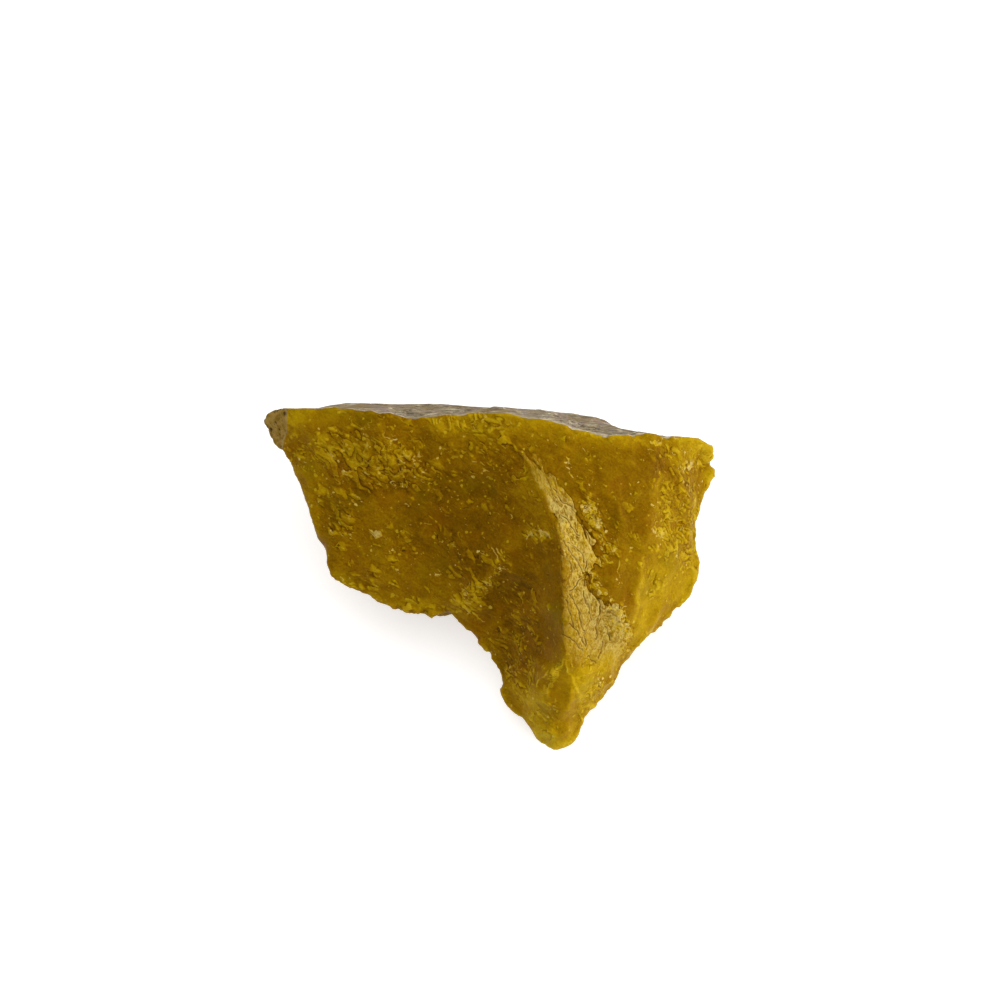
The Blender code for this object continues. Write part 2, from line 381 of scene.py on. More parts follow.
@dataclass(frozen=True)
class Places:
    """Where the stone's breaks and marks lie on its broad face, in millimetres.

    Outlines and traces: sheen is the creamy break, whose creaminess is partly painted sheen, and ridge the
    line along its left. band_edge is where the lighter facet on the right begins, tip the dark wedge at the
    point, scoop the hollow beside the ridge, which is painted darker as shade, dim a darker stretch, partly
    painted shade, and top a lighter one. clean_sides have no chips. knob_edge and rind_ends bound the
    weathered skin, and brow is the line that nothing stands above. hackles are dark cracks, scratches thin
    bright lines, partly painted highlights, and edge_highlights the painted highlights along the edges
    between facets.

    Patches: where marks are pale, partly painted light, where the break is milky, partly painted sheen, where
    flakes are crowded or the stone is calm, where it swells, and where it is painted lighter or darker, as
    painted light and shade across its facets and partly as its own tone.
    """

    sheen: Outline = Outline((
        (2.7, 6.6), (4.6, 5.4), (6.8, 3.0), (8.8, 0.9), (10.0, -2.4), (12.0, -5.7), (12.8, -8.3),
        (11.2, -9.6), (11.1, -11.2), (13.2, -13.4), (15.6, -15.0), (16.9, -17.2), (17.0, -19.8),
        (15.7, -22.8), (13.3, -22.4), (11.2, -21.6), (8.8, -21.6), (8.5, -18.7), (8.3, -14.7),
        (8.3, -10.0), (8.0, -6.0), (6.9, -2.9), (5.4, 0.8), (3.9, 3.3),
    ))
    ridge: Trace = Trace((
        (2.4, 8.5), (3.2, 5.9), (4.3, 4.0), (5.7, 1.3), (6.9, -2.4), (8.0, -4.9), (8.3, -8.0), (8.3, -14.7),
        (8.5, -19.7), (8.7, -21.5),
    ))
    band_edge: Trace = Trace((
        (22.4, 8.5), (21.6, 4.0), (20.3, 0.3), (19.7, -4.0), (19.7, -6.9), (18.8, -8.3), (18.5, -11.2),
        (18.0, -14.7), (17.2, -18.0), (16.5, -20.0), (15.2, -23.5), (13.0, -28.0),
    ))
    tip: Outline = Outline((
        (8.5, -21.2), (9.3, -23.6), (10.1, -25.2), (10.9, -26.7), (10.3, -28.3), (9.1, -31.3), (6.9, -31.7),
        (6.1, -28.7), (6.5, -25.3), (6.5, -23.2),
    ))
    scoop: Outline = Outline((
        (8.0, -5.3), (3.3, -5.5), (0.4, -7.7), (-1.6, -11.5), (-3.3, -14.1), (-1.3, -18.7), (0.7, -22.7),
        (4.7, -25.3), (6.5, -23.2), (8.4, -21.1), (8.3, -13.3),
    ))
    dim: Outline = Outline((
        (-9.3, 5.3), (2.7, 6.7), (6.0, 0.0), (7.5, -4.7), (2.7, -4.7), (-0.7, -8.0), (-4.0, -13.3),
        (-9.3, -9.3), (-13.3, -2.7),
    ))
    top: Outline = Outline((
        (-13.3, 12.5), (-8.0, 12.5), (2.7, 12.5), (9.3, 11.5), (13.3, 10.1), (18.7, 9.5), (28.7, 9.0),
        (28.7, 1.5), (24.0, 3.0), (21.5, 6.0), (16.0, 7.2), (8.0, 8.5), (2.7, 9.3), (0.0, 8.0), (-8.0, 8.5),
    ))
    clean_sides: tuple[Trace, ...] = (
        Trace(((-28.5, 7.0), (-25.0, 0.5), (-22.8, -7.5), (-20.3, -12.5))),
        Trace(((2.5, -28.5), (5.0, -32.0), (9.0, -32.5))),
    )
    knob_edge: Trace = Trace(((-28.4, 13.0), (-28.5, 9.3), (-29.2, 6.8), (-30.5, 5.0)))
    rind_ends: tuple[float, float] = (-23.9, 18.3)
    brow: Trace = Trace((
        (-31.2, 11.5), (-29.9, 12.3), (-24.7, 12.2), (-20.7, 13.0), (-8.0, 13.1), (-4.0, 12.7), (2.7, 12.3),
        (10.0, 11.7), (14.0, 10.9), (16.0, 9.6), (21.3, 8.7), (26.7, 8.3), (28.3, 7.3),
    ))
    pale: tuple[Patch, ...] = (
        Patch((-16.8, -4.5), (1.1, 0.7), -30.0, 1.1),
        Patch((20.8, 7.6), (1.2, 0.5), -15.0),
        Patch((25.1, 4.6), (1.1, 0.8), 20.0),
        Patch((21.3, -4.5), (1.3, 0.8), -35.0),
        Patch((5.1, -4.4), (2.0, 0.6), -10.0, 0.75),
        Patch((-3.6, -12.6), (3.0, 0.9), 38.0, 0.5),
        Patch((0.0, -7.2), (1.8, 0.8), -50.0, 0.7),
        Patch((0.0, -9.0), (1.2, 1.0), 0.0, 0.6),
        Patch((12.1, -2.0), (1.2, 2.8), 25.0, 0.95),
        Patch((14.2, -6.2), (1.2, 2.6), 20.0, 0.6),
        Patch((12.9, -11.3), (1.0, 2.6), 40.0, 0.75),
        Patch((15.7, -10.3), (0.5, 1.4), 10.0, 0.7),
        Patch((16.0, -16.0), (1.1, 3.2), 25.0, 0.95),
        Patch((13.0, -24.6), (0.8, 1.2), 0.0, 0.8),
        Patch((9.2, 4.2), (0.5, 1.8), 20.0, 0.8),
        Patch((19.8, -1.0), (1.0, 1.4), 0.0, 0.6),
    )
    milky: tuple[Patch, ...] = (
        Patch((8.0, -1.2), (1.9, 2.6), 25.0, 0.62),
        Patch((10.6, -6.2), (1.5, 2.4), 20.0, 0.35),
        Patch((14.2, -17.0), (2.3, 4.0), 12.0, 0.95),
        Patch((11.3, -13.5), (1.4, 3.4), 8.0, 0.45),
    )
    hackles: tuple[Trace, ...] = (
        Trace(((6.9, 1.6), (8.0, 0.0), (9.6, -1.1))),
        Trace(((8.1, -1.9), (9.3, -3.3), (10.4, -4.8))),
        Trace(((9.5, -1.3), (10.7, -2.4), (11.5, -4.3), (11.9, -5.6), (12.5, -6.7))),
        Trace(((8.1, -5.3), (9.1, -6.4), (9.9, -7.7), (10.7, -9.1), (10.9, -9.9))),
        Trace(((8.8, -5.6), (10.4, -6.7), (11.2, -8.3))),
        Trace(((8.0, -6.9), (9.3, -8.3), (9.7, -9.6))),
        Trace(((11.5, -8.0), (11.1, -9.6), (12.0, -10.7))),
        Trace(((9.2, -11.9), (10.9, -10.4))),
        Trace(((9.2, -12.5), (10.1, -14.1), (10.7, -16.0), (11.2, -17.9), (11.3, -19.5))),
        Trace(((10.9, -12.0), (11.7, -14.4), (12.0, -16.0))),
        Trace(((12.3, -12.5), (13.3, -13.9), (13.1, -15.2), (12.7, -17.3), (12.8, -18.5))),
        Trace(((8.7, -13.3), (9.3, -14.9), (9.6, -16.7))),
        Trace(((9.1, -16.3), (10.4, -17.6), (11.1, -19.3))),
        Trace(((8.4, -17.9), (9.9, -18.7), (10.8, -20.0))),
        Trace(((14.0, -16.7), (14.7, -18.7))),
        Trace(((11.5, -20.8), (13.1, -21.7))),
        Trace(((13.5, -18.7), (13.2, -21.3))),
        Trace(((21.4, -1.0), (21.8, -1.3))),
        Trace(((21.0, -9.9), (20.6, -11.2))),
        Trace(((12.3, -1.6), (13.0, -3.4))),
    )
    scratches: tuple[Trace, ...] = (
        Trace(((-1.1, -6.3), (-0.1, -8.0))),
        Trace(((-0.4, -6.4), (0.7, -8.1))),
        Trace(((0.3, -6.5), (0.8, -7.5))),
        Trace(((-4.0, -11.3), (-5.1, -12.5))),
        Trace(((-2.4, -10.8), (-0.8, -11.3))),
        Trace(((-3.3, -13.1), (-4.0, -14.0))),
        Trace(((-2.0, -16.3), (-3.7, -14.9))),
        Trace(((3.6, -5.2), (4.2, -4.3))),
        Trace(((4.6, -4.0), (5.6, -4.1), (5.3, -4.9))),
        Trace(((6.0, -4.2), (6.9, -5.0))),
        Trace(((15.5, -7.2), (16.0, -8.4), (15.8, -9.4))),
        Trace(((20.8, -4.9), (21.6, -4.0), (22.6, -4.8))),
        Trace(((20.2, -3.9), (20.7, -2.9), (22.0, -2.7), (25.4, -2.8))),
        Trace(((8.4, -21.3), (7.2, -23.2), (6.2, -25.8))),
        Trace(((7.4, -22.1), (5.2, -23.9), (4.6, -26.0))),
        Trace(((8.6, -21.3), (9.4, -23.4), (10.4, -25.8))),
    )
    edge_highlights: tuple[Trace, ...] = (
        Trace(((19.2, -7.6), (18.9, -11.5), (18.1, -15.3), (17.0, -19.0))),
        Trace(((26.2, 1.0), (25.9, -5.0), (26.0, -10.8))),
        Trace(((17.5, 8.9), (20.2, 6.6), (21.5, 3.4), (20.6, 0.6))),
        Trace(((8.5, -21.1), (7.1, -23.5), (6.3, -26.5))),
        Trace(((8.5, -21.1), (9.9, -24.4), (10.9, -27.0))),
    )
    crowded: tuple[Patch, ...] = (
        Patch((-17.3, 5.3), (9.5, 4.6), -12.0),
        Patch((-21.6, -1.3), (3.4, 4.5), 10.0, 0.75),
        Patch((-10.0, 4.7), (2.4, 4.2), 15.0, 0.7),
        Patch((-3.8, -13.0), (4.2, 2.0), 38.0, 0.95),
        Patch((2.9, -17.6), (3.2, 4.0), 0.0, 0.62),
        Patch((2.9, -23.2), (2.6, 4.2), 20.0, 0.8),
        Patch((12.4, -2.4), (1.5, 4.4), 22.0, 0.95),
        Patch((14.2, -6.5), (1.9, 3.0), 15.0, 0.7),
        Patch((13.2, -11.4), (1.3, 3.0), 40.0, 0.8),
        Patch((16.2, -15.9), (1.3, 3.2), 28.0, 0.85),
        Patch((-3.3, 10.2), (7.5, 1.7), 0.0, 0.72),
        Patch((5.2, -4.5), (2.2, 0.9), -5.0, 1.0),
        Patch((-15.3, -12.6), (8.5, 1.3), -14.0, 0.55),
        Patch((6.9, -23.8), (2.9, 0.7), 62.0, 0.9),
        Patch((5.0, -28.5), (3.0, 3.0), -30.0, 0.5),
        Patch((20.8, -11.5), (2.4, 3.6), 20.0, 0.42),
        Patch((24.2, -2.7), (3.6, 8.5), 5.0, 0.72),
        Patch((24.7, 5.5), (4.4, 2.8), 0.0, 0.66),
        Patch((12.0, -26.7), (1.8, 3.4), -25.0, 0.66),
    )
    swells: tuple[Patch, ...] = (
        Patch((6.6, -32.6), (4.0, 2.6), 10.0, 0.55),
        Patch((28.4, 6.6), (1.3, 1.6), 0.0, 0.6),
        Patch((28.6, 3.4), (1.0, 1.7), 0.0, 0.5),
        Patch((13.6, 11.2), (2.2, 0.9), -20.0, 0.35),
        Patch((-30.6, 11.2), (1.2, 1.0), 0.0, 0.3),
        Patch((-31.0, 8.4), (1.4, 2.2), -55.0, -0.16),
        Patch((-8.4, -15.0), (2.8, 1.2), 0.0, -0.25),
        Patch((10.6, -30.4), (1.4, 2.4), 25.0, -0.22),
        Patch((-25.8, -0.6), (8.0, 1.3), -77.0, 0.2),
    )
    # Painted light and shade across the facets, partly the stone's own tone.
    shades: tuple[Patch, ...] = (
        Patch((4.7, 0.5), (2.8, 4.5), 20.0, 0.15),
        Patch((4.9, -4.5), (2.4, 0.8), -8.0, 0.16),
        Patch((-3.8, -12.8), (3.4, 1.3), 38.0, 0.12),
        Patch((6.9, -23.8), (3.2, 0.6), 62.0, 0.1),
        Patch((11.2, -24.2), (1.7, 2.6), -15.0, 0.16),
        Patch((14.7, 0.0), (5.5, 7.0), 0.0, -0.05),
        Patch((24.0, -4.0), (4.5, 9.0), 0.0, -0.04),
        Patch((20.5, -13.5), (3.2, 6.0), -25.0, 0.12),
        Patch((24.5, 5.5), (5.5, 3.5), 0.0, -0.18),
        Patch((28.4, 4.0), (1.6, 3.0), 0.0, -0.1),
        Patch((8.0, -27.5), (6.0, 6.5), 0.0, 0.21),
        Patch((6.0, -11.0), (2.2, 6.0), 0.0, 0.05),
        Patch((12.0, -25.5), (2.6, 4.5), -30.0, 0.08),
        Patch((-25.0, 11.0), (5.0, 1.6), 0.0, 0.1),
        Patch((-3.5, 11.0), (9.0, 1.8), 0.0, 0.12),
        Patch((15.6, -18.5), (1.6, 3.6), 10.0, 0.08),
        Patch((16.5, -9.5), (2.5, 5.0), 0.0, 0.05),
        Patch((13.2, -21.6), (2.4, 1.8), 0.0, 0.17),
        Patch((3.3, -11.5), (1.8, 2.4), 0.0, -0.1),
        Patch((-19.0, 1.5), (3.0, 2.5), 0.0, -0.07),
        Patch((-20.5, 12.3), (5.0, 1.2), 0.0, 0.08),
        Patch((13.0, 9.6), (4.5, 3.0), -10.0, 0.13),
        Patch((-24.5, 5.5), (2.4, 4.5), -10.0, 0.08),
        Patch((-10.5, -14.3), (3.0, 1.2), -12.0, 0.12),
        Patch((4.5, -28.0), (2.2, 3.0), -30.0, 0.07),
        Patch((-13.0, -13.8), (6.0, 1.1), -10.0, 0.12),
        Patch((25.6, -11.5), (1.5, 3.0), -20.0, 0.16),
        Patch((28.0, 8.2), (2.0, 1.6), 0.0, -0.12),
        Patch((14.5, -21.5), (1.4, 2.6), -30.0, 0.14),
        Patch((15.2, -17.6), (1.6, 2.4), 10.0, 0.12),
        Patch((17.6, -14.6), (0.9, 2.6), 15.0, -0.08),
        Patch((-17.0, 3.5), (5.5, 3.0), -12.0, -0.08),
        Patch((24.5, 1.0), (3.0, 4.0), 0.0, -0.08),
        Patch((-3.3, -8.2), (2.6, 2.6), 0.0, -0.08),
    )
    calm: tuple[Patch, ...] = (
        Patch((7.0, -13.5), (1.7, 7.5), 0.0),
        Patch((16.0, -10.5), (2.6, 3.6), 0.0, 0.8),
        Patch((-24.5, 11.0), (3.2, 1.1), 0.0),
        Patch((8.8, -25.5), (1.4, 3.4), 0.0, 0.8),
    )


@dataclass(frozen=True)
class Seeds:
    """The shifts that give each noise its own pattern."""

    bend: tuple[float, float, float] = (0.0, 20.0, 40.0)
    fray: float = 2.5
    fine_fray: float = 3.5
    shells: float = 0.0
    flakes: float = 0.0
    grain: float = 3.0
    dense: float = 4.1
    streaks: float = 5.0
    fine_streaks: float = 6.0
    pits: float = 2.0
    line_width: float = 7.0
    chips: float = 9.0
    scallops: float = 12.0


@dataclass(frozen=True)
class Relief:
    """How high and how far apart the surface's own forms are, in millimetres. Lengths are in widths.

    Each Span is where a form comes in, by the measure that its method takes.
    """

    # Ragged noise: how strong its finer layer is, and how many times finer.
    fray_share: float = 0.6
    fray_finer: float = 2.3

    # Shell-shaped dents, and the small scallops between them.
    shell_size: float = 2.9
    shell_depth: float = 0.2
    shell_floor: float = 0.25
    shell_bend: Bend = (0.5, 1.4)
    shell_lost_in_break: float = 0.6
    scallop_size: float = 1.15
    scallop_depth: float = 0.32
    scallop_floor: float = 0.2
    scallop_bend: Bend = (0.25, 0.7)
    scallop_least: float = 0.25
    scallop_by_flakes: float = 0.5

    # The torn edge of the creamy break, and how high the break stands.
    edge_fray: float = 1.15
    finger_turn_deg: float = -62.0
    finger_length: float = 2.8
    finger_size: float = 1.1
    edge_height: float = 0.2
    edge_width: Span = (-0.12, 0.16)
    edge_from: Span = (-22.0, -18.5)
    tear_reach: float = 1.8
    tear_fingers: float = 0.45

    # Flakes: how they lie and step down, and where they show.
    flake_size: float = 2.3
    flake_length: float = 3.0
    flake_turn_deg: float = -40.0
    flake_steps: float = 3.3
    flake_depth: float = 0.13
    flake_drop: float = 0.16
    flake_fray: float = 0.14
    flake_fray_size: float = 0.8
    flake_bend: Bend = (0.5, 1.8)
    flake_swirl: Bend = (3.2, 9.0)
    flake_lost_in_break: float = 0.5
    flaked_at: Span = (-0.05, 0.15)
    shown_size: float = 1.1
    shown_length: float = 1.8
    shown_bend: Bend = (0.4, 1.0)
    rare: float = 0.78
    crowding: float = 1.15

    # Fine grain.
    grain_size: float = 0.6
    grain_height: float = 0.02

    # What stands out from the surface around it and how it is chipped, and the crests and pits that take
    # painted light and painted shade.
    crest_rounds: int = 14
    crest_at: Span = (0.04, 0.24)
    crest_lost_on_top: float = 0.55
    top_from: Span = (6.5, 9.0)
    crest_lost_on_clean: float = 0.8
    clean_reach: Span = (2.0, 0.8)
    relief_shading_rounds: int = 4
    relief_shading_height: float = 0.1
    chip_size: float = 1.3
    chip_depth: float = 0.6
    chip_swell: float = 0.4
    chip_at: Span = (0.05, 0.5)

    # Dark cracks and thin scratches.
    hackle_width: float = 0.11
    hackle_swell: float = 0.5
    hackle_swell_size: float = 1.3
    hackle_depth: float = 0.17
    hackle_bend: Bend = (0.3, 1.1)
    hackle_jag: Bend = (0.14, 0.5)
    scratch_height: float = 0.05

    # The rind's streaks, and the knob's pits.
    streak_size: float = 0.8
    streak_length: float = 6.0
    streak_height: float = 0.24
    streak_fine_share: float = 0.5
    streak_finer: float = 2.2
    knob_pit_size: float = 0.9
    knob_pit_depth: float = 0.25
    knob_pit_width: Span = (0.4, 0.15)
    knob_swell: float = 0.3

    # The rim, the rounded part of the ridge, the brow, and the gap to the floor at the sides.
    rim_swell: float = 0.13
    rim_facing: Span = (0.6, 0.1)
    ridge_reach: float = 1.3
    ridge_rounds: int = 45
    ridge_below: Span = (-2.0, -7.0)
    ridge_above: Span = (-23.5, -20.0)
    brow_give: float = 0.2
    clearance: float = 0.03


@dataclass(frozen=True)
class Borders:
    """Where one kind of surface gives way to the next.

    Places and reaches are in millimetres. What ends in _facing is how far the surface must face a way, from 0
    for square to it to 1 for straight along it. soft, the break's soft left edge, and creamy, how creamy it
    is, which is partly painted sheen, are read off between the heights on the face in soft_at and creamy_at.
    """

    # What counts as the front, and the depth that is stored away from it.
    front_facing: float = 0.15
    side_facing: float = 0.1
    hidden: float = -5.0

    # The rind and the knob.
    rind_facing: float = 0.62
    rind_curl: float = 0.12
    curl_from: Span = (-0.5, 1.5)
    curl_facing: Span = (0.05, 0.2)
    rind_spread: float = 3.0
    rind_from: float = 7.0
    rind_lead: float = 0.6
    rind_fray: float = 1.1
    rind_fray_size: float = 2.4
    rind_edge: Span = (-0.2, 0.2)
    knob_edge: Span = (-0.2, 0.4)
    brink: float = 0.25
    brink_width: Span = (0.3, 0.1)
    brink_facing: Span = (0.2, 0.45)

    # The creamy break, its torn right edge and its soft left one.
    break_edge: Span = (-0.3, 0.5)
    straight_edge: float = 0.25
    torn_right_of: Span = (0.4, 1.6)
    torn_from: Span = (-4.5, -2.5)
    torn_strip: float = 0.7
    strip_from: Span = (-5.0, -3.0)
    soft_at: tuple[float, ...] = (-13.0, -5.5, -3.5)
    soft: tuple[float, ...] = (2.3, 1.0, 0.25)
    soft_ends: Span = (-0.5, 1.0)
    creamy_at: tuple[float, ...] = (-22.5, -19.5, -12.0, -4.0, 0.0, 2.5, 7.0)
    creamy: tuple[float, ...] = (0.1, 0.6, 0.85, 0.95, 0.9, 0.5, 0.2)

    # Painted highlights along the edges between facets, and the darker stretch, partly painted shade.
    edge_highlight_width: Span = (0.34, 0.08)
    dim: float = -0.13
    dim_edge: Span = (-2.0, 3.0)

    # How crowded the flakes are on either side of the ridge.
    ridge_x: float = 7.0
    dense_left: float = 0.36
    dense_right: float = 0.24
    dense_size: float = 5.0

    # Where the mesh is split finest.
    fine_reach: float = 0.6
    fine_beside_lines: float = 0.25


# --------------------------------------------------------------------------------------------------
# Shader maths
# --------------------------------------------------------------------------------------------------


class Value:
    """A shader socket that takes part in Python arithmetic. Each operation adds a Math node."""

    def __init__(self, graph: "Graph", socket: bpy.types.NodeSocket) -> None:
        """Wraps a socket of a graph."""
        self.graph = graph
        self.socket = socket

    def _math(self, operation: str, *operands: Operand) -> "Value":
        """The result of a Math node on some operands."""
        node = self.graph.node("ShaderNodeMath", {"operation": operation}, dict(enumerate(operands)))
        return Value(self.graph, node.outputs[0])

    def __add__(self, other: Operand) -> "Value":
        """self + other."""
        return self._math("ADD", self, other)

    def __sub__(self, other: Operand) -> "Value":
        """self - other."""
        return self._math("SUBTRACT", self, other)

    def __rsub__(self, other: Operand) -> "Value":
        """other - self."""
        return self._math("SUBTRACT", other, self)

    def __mul__(self, other: Operand) -> "Value":
        """self * other."""
        return self._math("MULTIPLY", self, other)

    def __abs__(self) -> "Value":
        """The value without its sign."""
        return self._math("ABSOLUTE", self)

    __radd__ = __add__
    __rmul__ = __mul__

    def most(self, other: Operand) -> "Value":
        """The greater of the two."""
        return self._math("MAXIMUM", self, other)

    def fraction(self) -> "Value":
        """What is left after the whole number is taken away."""
        return self._math("FRACT", self)

    def least(self, other: Operand) -> "Value":
        """The lesser of the two."""
        return self._math("MINIMUM", self, other)

    def eased(self, low: float, high: float) -> "Value":
        """The value turned to 0 below low and 1 above high, with a soft S between.

        Args:
            low: where the S begins.
            high: where it ends, which may be the lower of the two.

        Returns:
            The eased value, from 0 to 1.
        """
        if low > high:
            return 1 - self.eased(high, low)
        node = self.graph.node(
            "ShaderNodeMapRange",
            {"interpolation_type": "SMOOTHSTEP"},
            {"Value": self, "From Min": low, "From Max": high},
        )
        return Value(self.graph, node.outputs["Result"])


class Graph:
    """A material's node tree, built one node at a time."""

    def __init__(self, name: str) -> None:
        """Makes a material that holds only its output and an empty Principled shader.

        Args:
            name: the material's name.
        """
        self.material = bpy.data.materials.new(name)
        self.material.use_nodes = True
        self.tree = self.material.node_tree
        self.shader = self.tree.nodes["Principled BSDF"]

    def node(
        self,
        kind: str,
        settings: Mapping[str, object] | None = None,
        inputs: Mapping[str | int, object] | None = None,
    ) -> bpy.types.Node:
        """Adds a node.

        Args:
            kind: the node's type.
            settings: its properties, which are set first. "stops" are a ramp's places and colours.
            inputs: a value or a link for each named or numbered socket.

        Returns:
            The new node.
        """
        made = self.tree.nodes.new(kind)
        for name, setting in (settings or {}).items():
            if name == "stops":
                self._set_stops(made.color_ramp, setting)
            else:
                setattr(made, name, setting)
        for name, value in (inputs or {}).items():
            self.feed(made.inputs[name], value)
        return made

    def feed(self, socket: bpy.types.NodeSocket, value: object) -> None:
        """Links a socket to another one, or sets its own value.

        Args:
            socket: the socket that is fed.
            value: a socket to link to it, wrapped or plain, or its own new value.
        """
        if isinstance(value, Value):
            value = value.socket
        if isinstance(value, bpy.types.NodeSocket):
            self.tree.links.new(value, socket)
        else:
            socket.default_value = value

    @staticmethod
    def _set_stops(ramp: bpy.types.ColorRamp, stops: Sequence[tuple[float, Colour]]) -> None:
        """Gives a ramp its stops.

        Args:
            ramp: the ramp, which starts with two stops.
            stops: the place and the colour of each, in order.
        """
        while len(ramp.elements) < len(stops):
            ramp.elements.new(1.0)
        for element, (position, colour) in zip(ramp.elements, stops):
            element.position = position
            element.color = colour

    def stored(self, name: Field) -> Value:
        """A value that is stored on the mesh."""
        node = self.node("ShaderNodeAttribute", {"attribute_name": name.value})
        return Value(self, node.outputs["Fac"])

    def place(
        self, stretch: Sequence[float] = (1, 1, 1), turn_deg: float = 0.0
    ) -> bpy.types.NodeSocket:
        """The place on the stone in millimetres.

        Args:
            stretch: how many times longer marks come out along each axis.
            turn_deg: how far those axes are turned about the upright one.

        Returns:
            The place's socket.
        """
        sockets = {
            "Vector": self.node("ShaderNodeTexCoord").outputs["Object"],
            "Rotation": (0, 0, math.radians(turn_deg)),
            "Scale": tuple(s * MM for s in stretch),
        }
        return self.node("ShaderNodeMapping", {"vector_type": "TEXTURE"}, sockets).outputs[0]

    def noise(
        self,
        place: bpy.types.NodeSocket,
        size: float,
        detail: float = 2.0,
        warp: float = 0.0,
        rough: float = 0.5,
        output: str = "Fac",
    ) -> Value:
        """Noise from 0 to 1.

        Args:
            place: where it is looked up, in millimetres.
            size: how far apart its swells lie.
            detail: how many finer layers it has.
            warp: how far it is distorted.
            rough: how strong the finer layers are.
            output: which of the node's outputs is taken.

        Returns:
            The noise.
        """
        sockets = {"Vector": place, "Scale": 1 / size, "Detail": detail}
        sockets |= {"Roughness": rough, "Distortion": warp}
        return Value(self, self.node("ShaderNodeTexNoise", None, sockets).outputs[output])

    def cells(
        self, place: bpy.types.NodeSocket, size: float, output: str = "Distance", feature: str = "F1"
    ) -> Value:
        """Cell noise.

        Args:
            place: where it is looked up, in millimetres.
            size: how far apart the cells lie.
            output: the distance, in cell sizes, or each cell's own random colour.
            feature: what the distance is measured to.

        Returns:
            The cell noise.
        """
        sockets = {"Vector": place, "Scale": 1 / size}
        return Value(self, self.node("ShaderNodeTexVoronoi", {"feature": feature}, sockets).outputs[output])

    def shifted(self, place: bpy.types.NodeSocket, colour: Value, reach: float) -> bpy.types.NodeSocket:
        """A place pushed about by a noise's colour, by up to half the reach in millimetres."""
        sockets = {0: colour, 1: (reach,) * 3, 2: place}
        return self.node("ShaderNodeVectorMath", {"operation": "MULTIPLY_ADD"}, sockets).outputs[0]

    def mixed(self, share: Operand, first: object, second: object) -> bpy.types.NodeSocket:
        """Two colours mixed.

        Args:
            share: how much of the second there is, from 0 to 1.
            first: the colour underneath.
            second: the colour on top.

        Returns:
            The mixed colour's socket.
        """
        sockets = {MIX_SHARE: share, MIX_FIRST_COLOUR: first, MIX_SECOND_COLOUR: second}
        return self.node("ShaderNodeMix", {"data_type": "RGBA"}, sockets).outputs[MIX_COLOUR_OUT]

    def layered(
        self, ground: bpy.types.NodeSocket, layers: Sequence[tuple[Operand, object]]
    ) -> bpy.types.NodeSocket:
        """Colours laid over a ground one after the other.

        Args:
            ground: the colour underneath.
            layers: how much of each colour there is, from 0 to 1, and the colour.

        Returns:
            The last colour's socket.
        """
        for share, colour in layers:
            ground = self.mixed(share, ground, colour)
        return ground

    def bumped(
        self, height: Value, relief: float, below: bpy.types.NodeSocket | None = None
    ) -> bpy.types.NodeSocket:
        """A normal that follows a height.

        Args:
            height: the height, where 1 stands for the relief.
            relief: how high 1 is, in millimetres.
            below: the normal that it stands on, if not the surface's own.

        Returns:
            The normal's socket.
        """
        sockets = {"Height": height, "Distance": relief * MM}
        if below is not None:
            sockets["Normal"] = below
        return self.node("ShaderNodeBump", None, sockets).outputs[0]


# --------------------------------------------------------------------------------------------------
# The finish
# --------------------------------------------------------------------------------------------------


@dataclass(frozen=True)
class StonePalette:
    """The stone's colours: its own body colours, with glint for painted highlights and cream partly for
    painted sheen.
    """

    dark: Colour = tint("4c3101")
    amber: Colour = tint("785302")
    honey: Colour = tint("926f04")
    yellow: Colour = tint("ad8c08")
    pale: Colour = tint("bf9f1a")
    straw: Colour = tint("b5941a")
    cream: Colour = tint("ac974b")
    glint: Colour = tint("cbb160")
    green: Colour = tint("6a5a02")
    russet: Colour = tint("7c4a02")
    crack: Colour = tint("664400")

    def by_tone(self) -> tuple[tuple[float, Colour], ...]:
        """The body's colours from dark to light, each with the tone that shows it."""
        return ((0.0, self.dark), (0.3, self.amber), (0.55, self.honey), (0.8, self.yellow), (1.0, self.pale))


@dataclass(frozen=True)
class RindPalette:
    """The colours of the weathered skin."""

    beige: Colour = tint("ab9978")
    grey: Colour = tint("8d816d")
    light: Colour = tint("d0c4a8")
    rose: Colour = tint("9d8782")
    line: Colour = tint("4f4436")
    tan: Colour = tint("7d6020")
    dun: Colour = tint("96793a")
    pit: Colour = tint("33240e")


@dataclass(frozen=True)
class Gloss:
    """How the surface takes the light. Sizes and heights are in millimetres."""

    roughness: float = 0.46
    creamy_polish: float = 0.14
    unevenness: float = 0.2
    uneven_size: float = 2.5
    dull_roughness: float = 0.8
    grain_size: float = 0.4
    grain_height: float = 0.05
    flake_height: float = 0.09
    flake_fall: float = 6.0
    stroke_lift: float = 0.5
    crinkle_height: float = 0.32
    cloudiness: float = 0.18
    glow: tuple[float, float, float] = (1.0, 0.6, 0.15)
    glow_reach: float = 0.9
    refraction: float = 1.55
    shine: float = 0.03
    shine_tint: Colour = (1.0, 0.78, 0.2, 1.0)


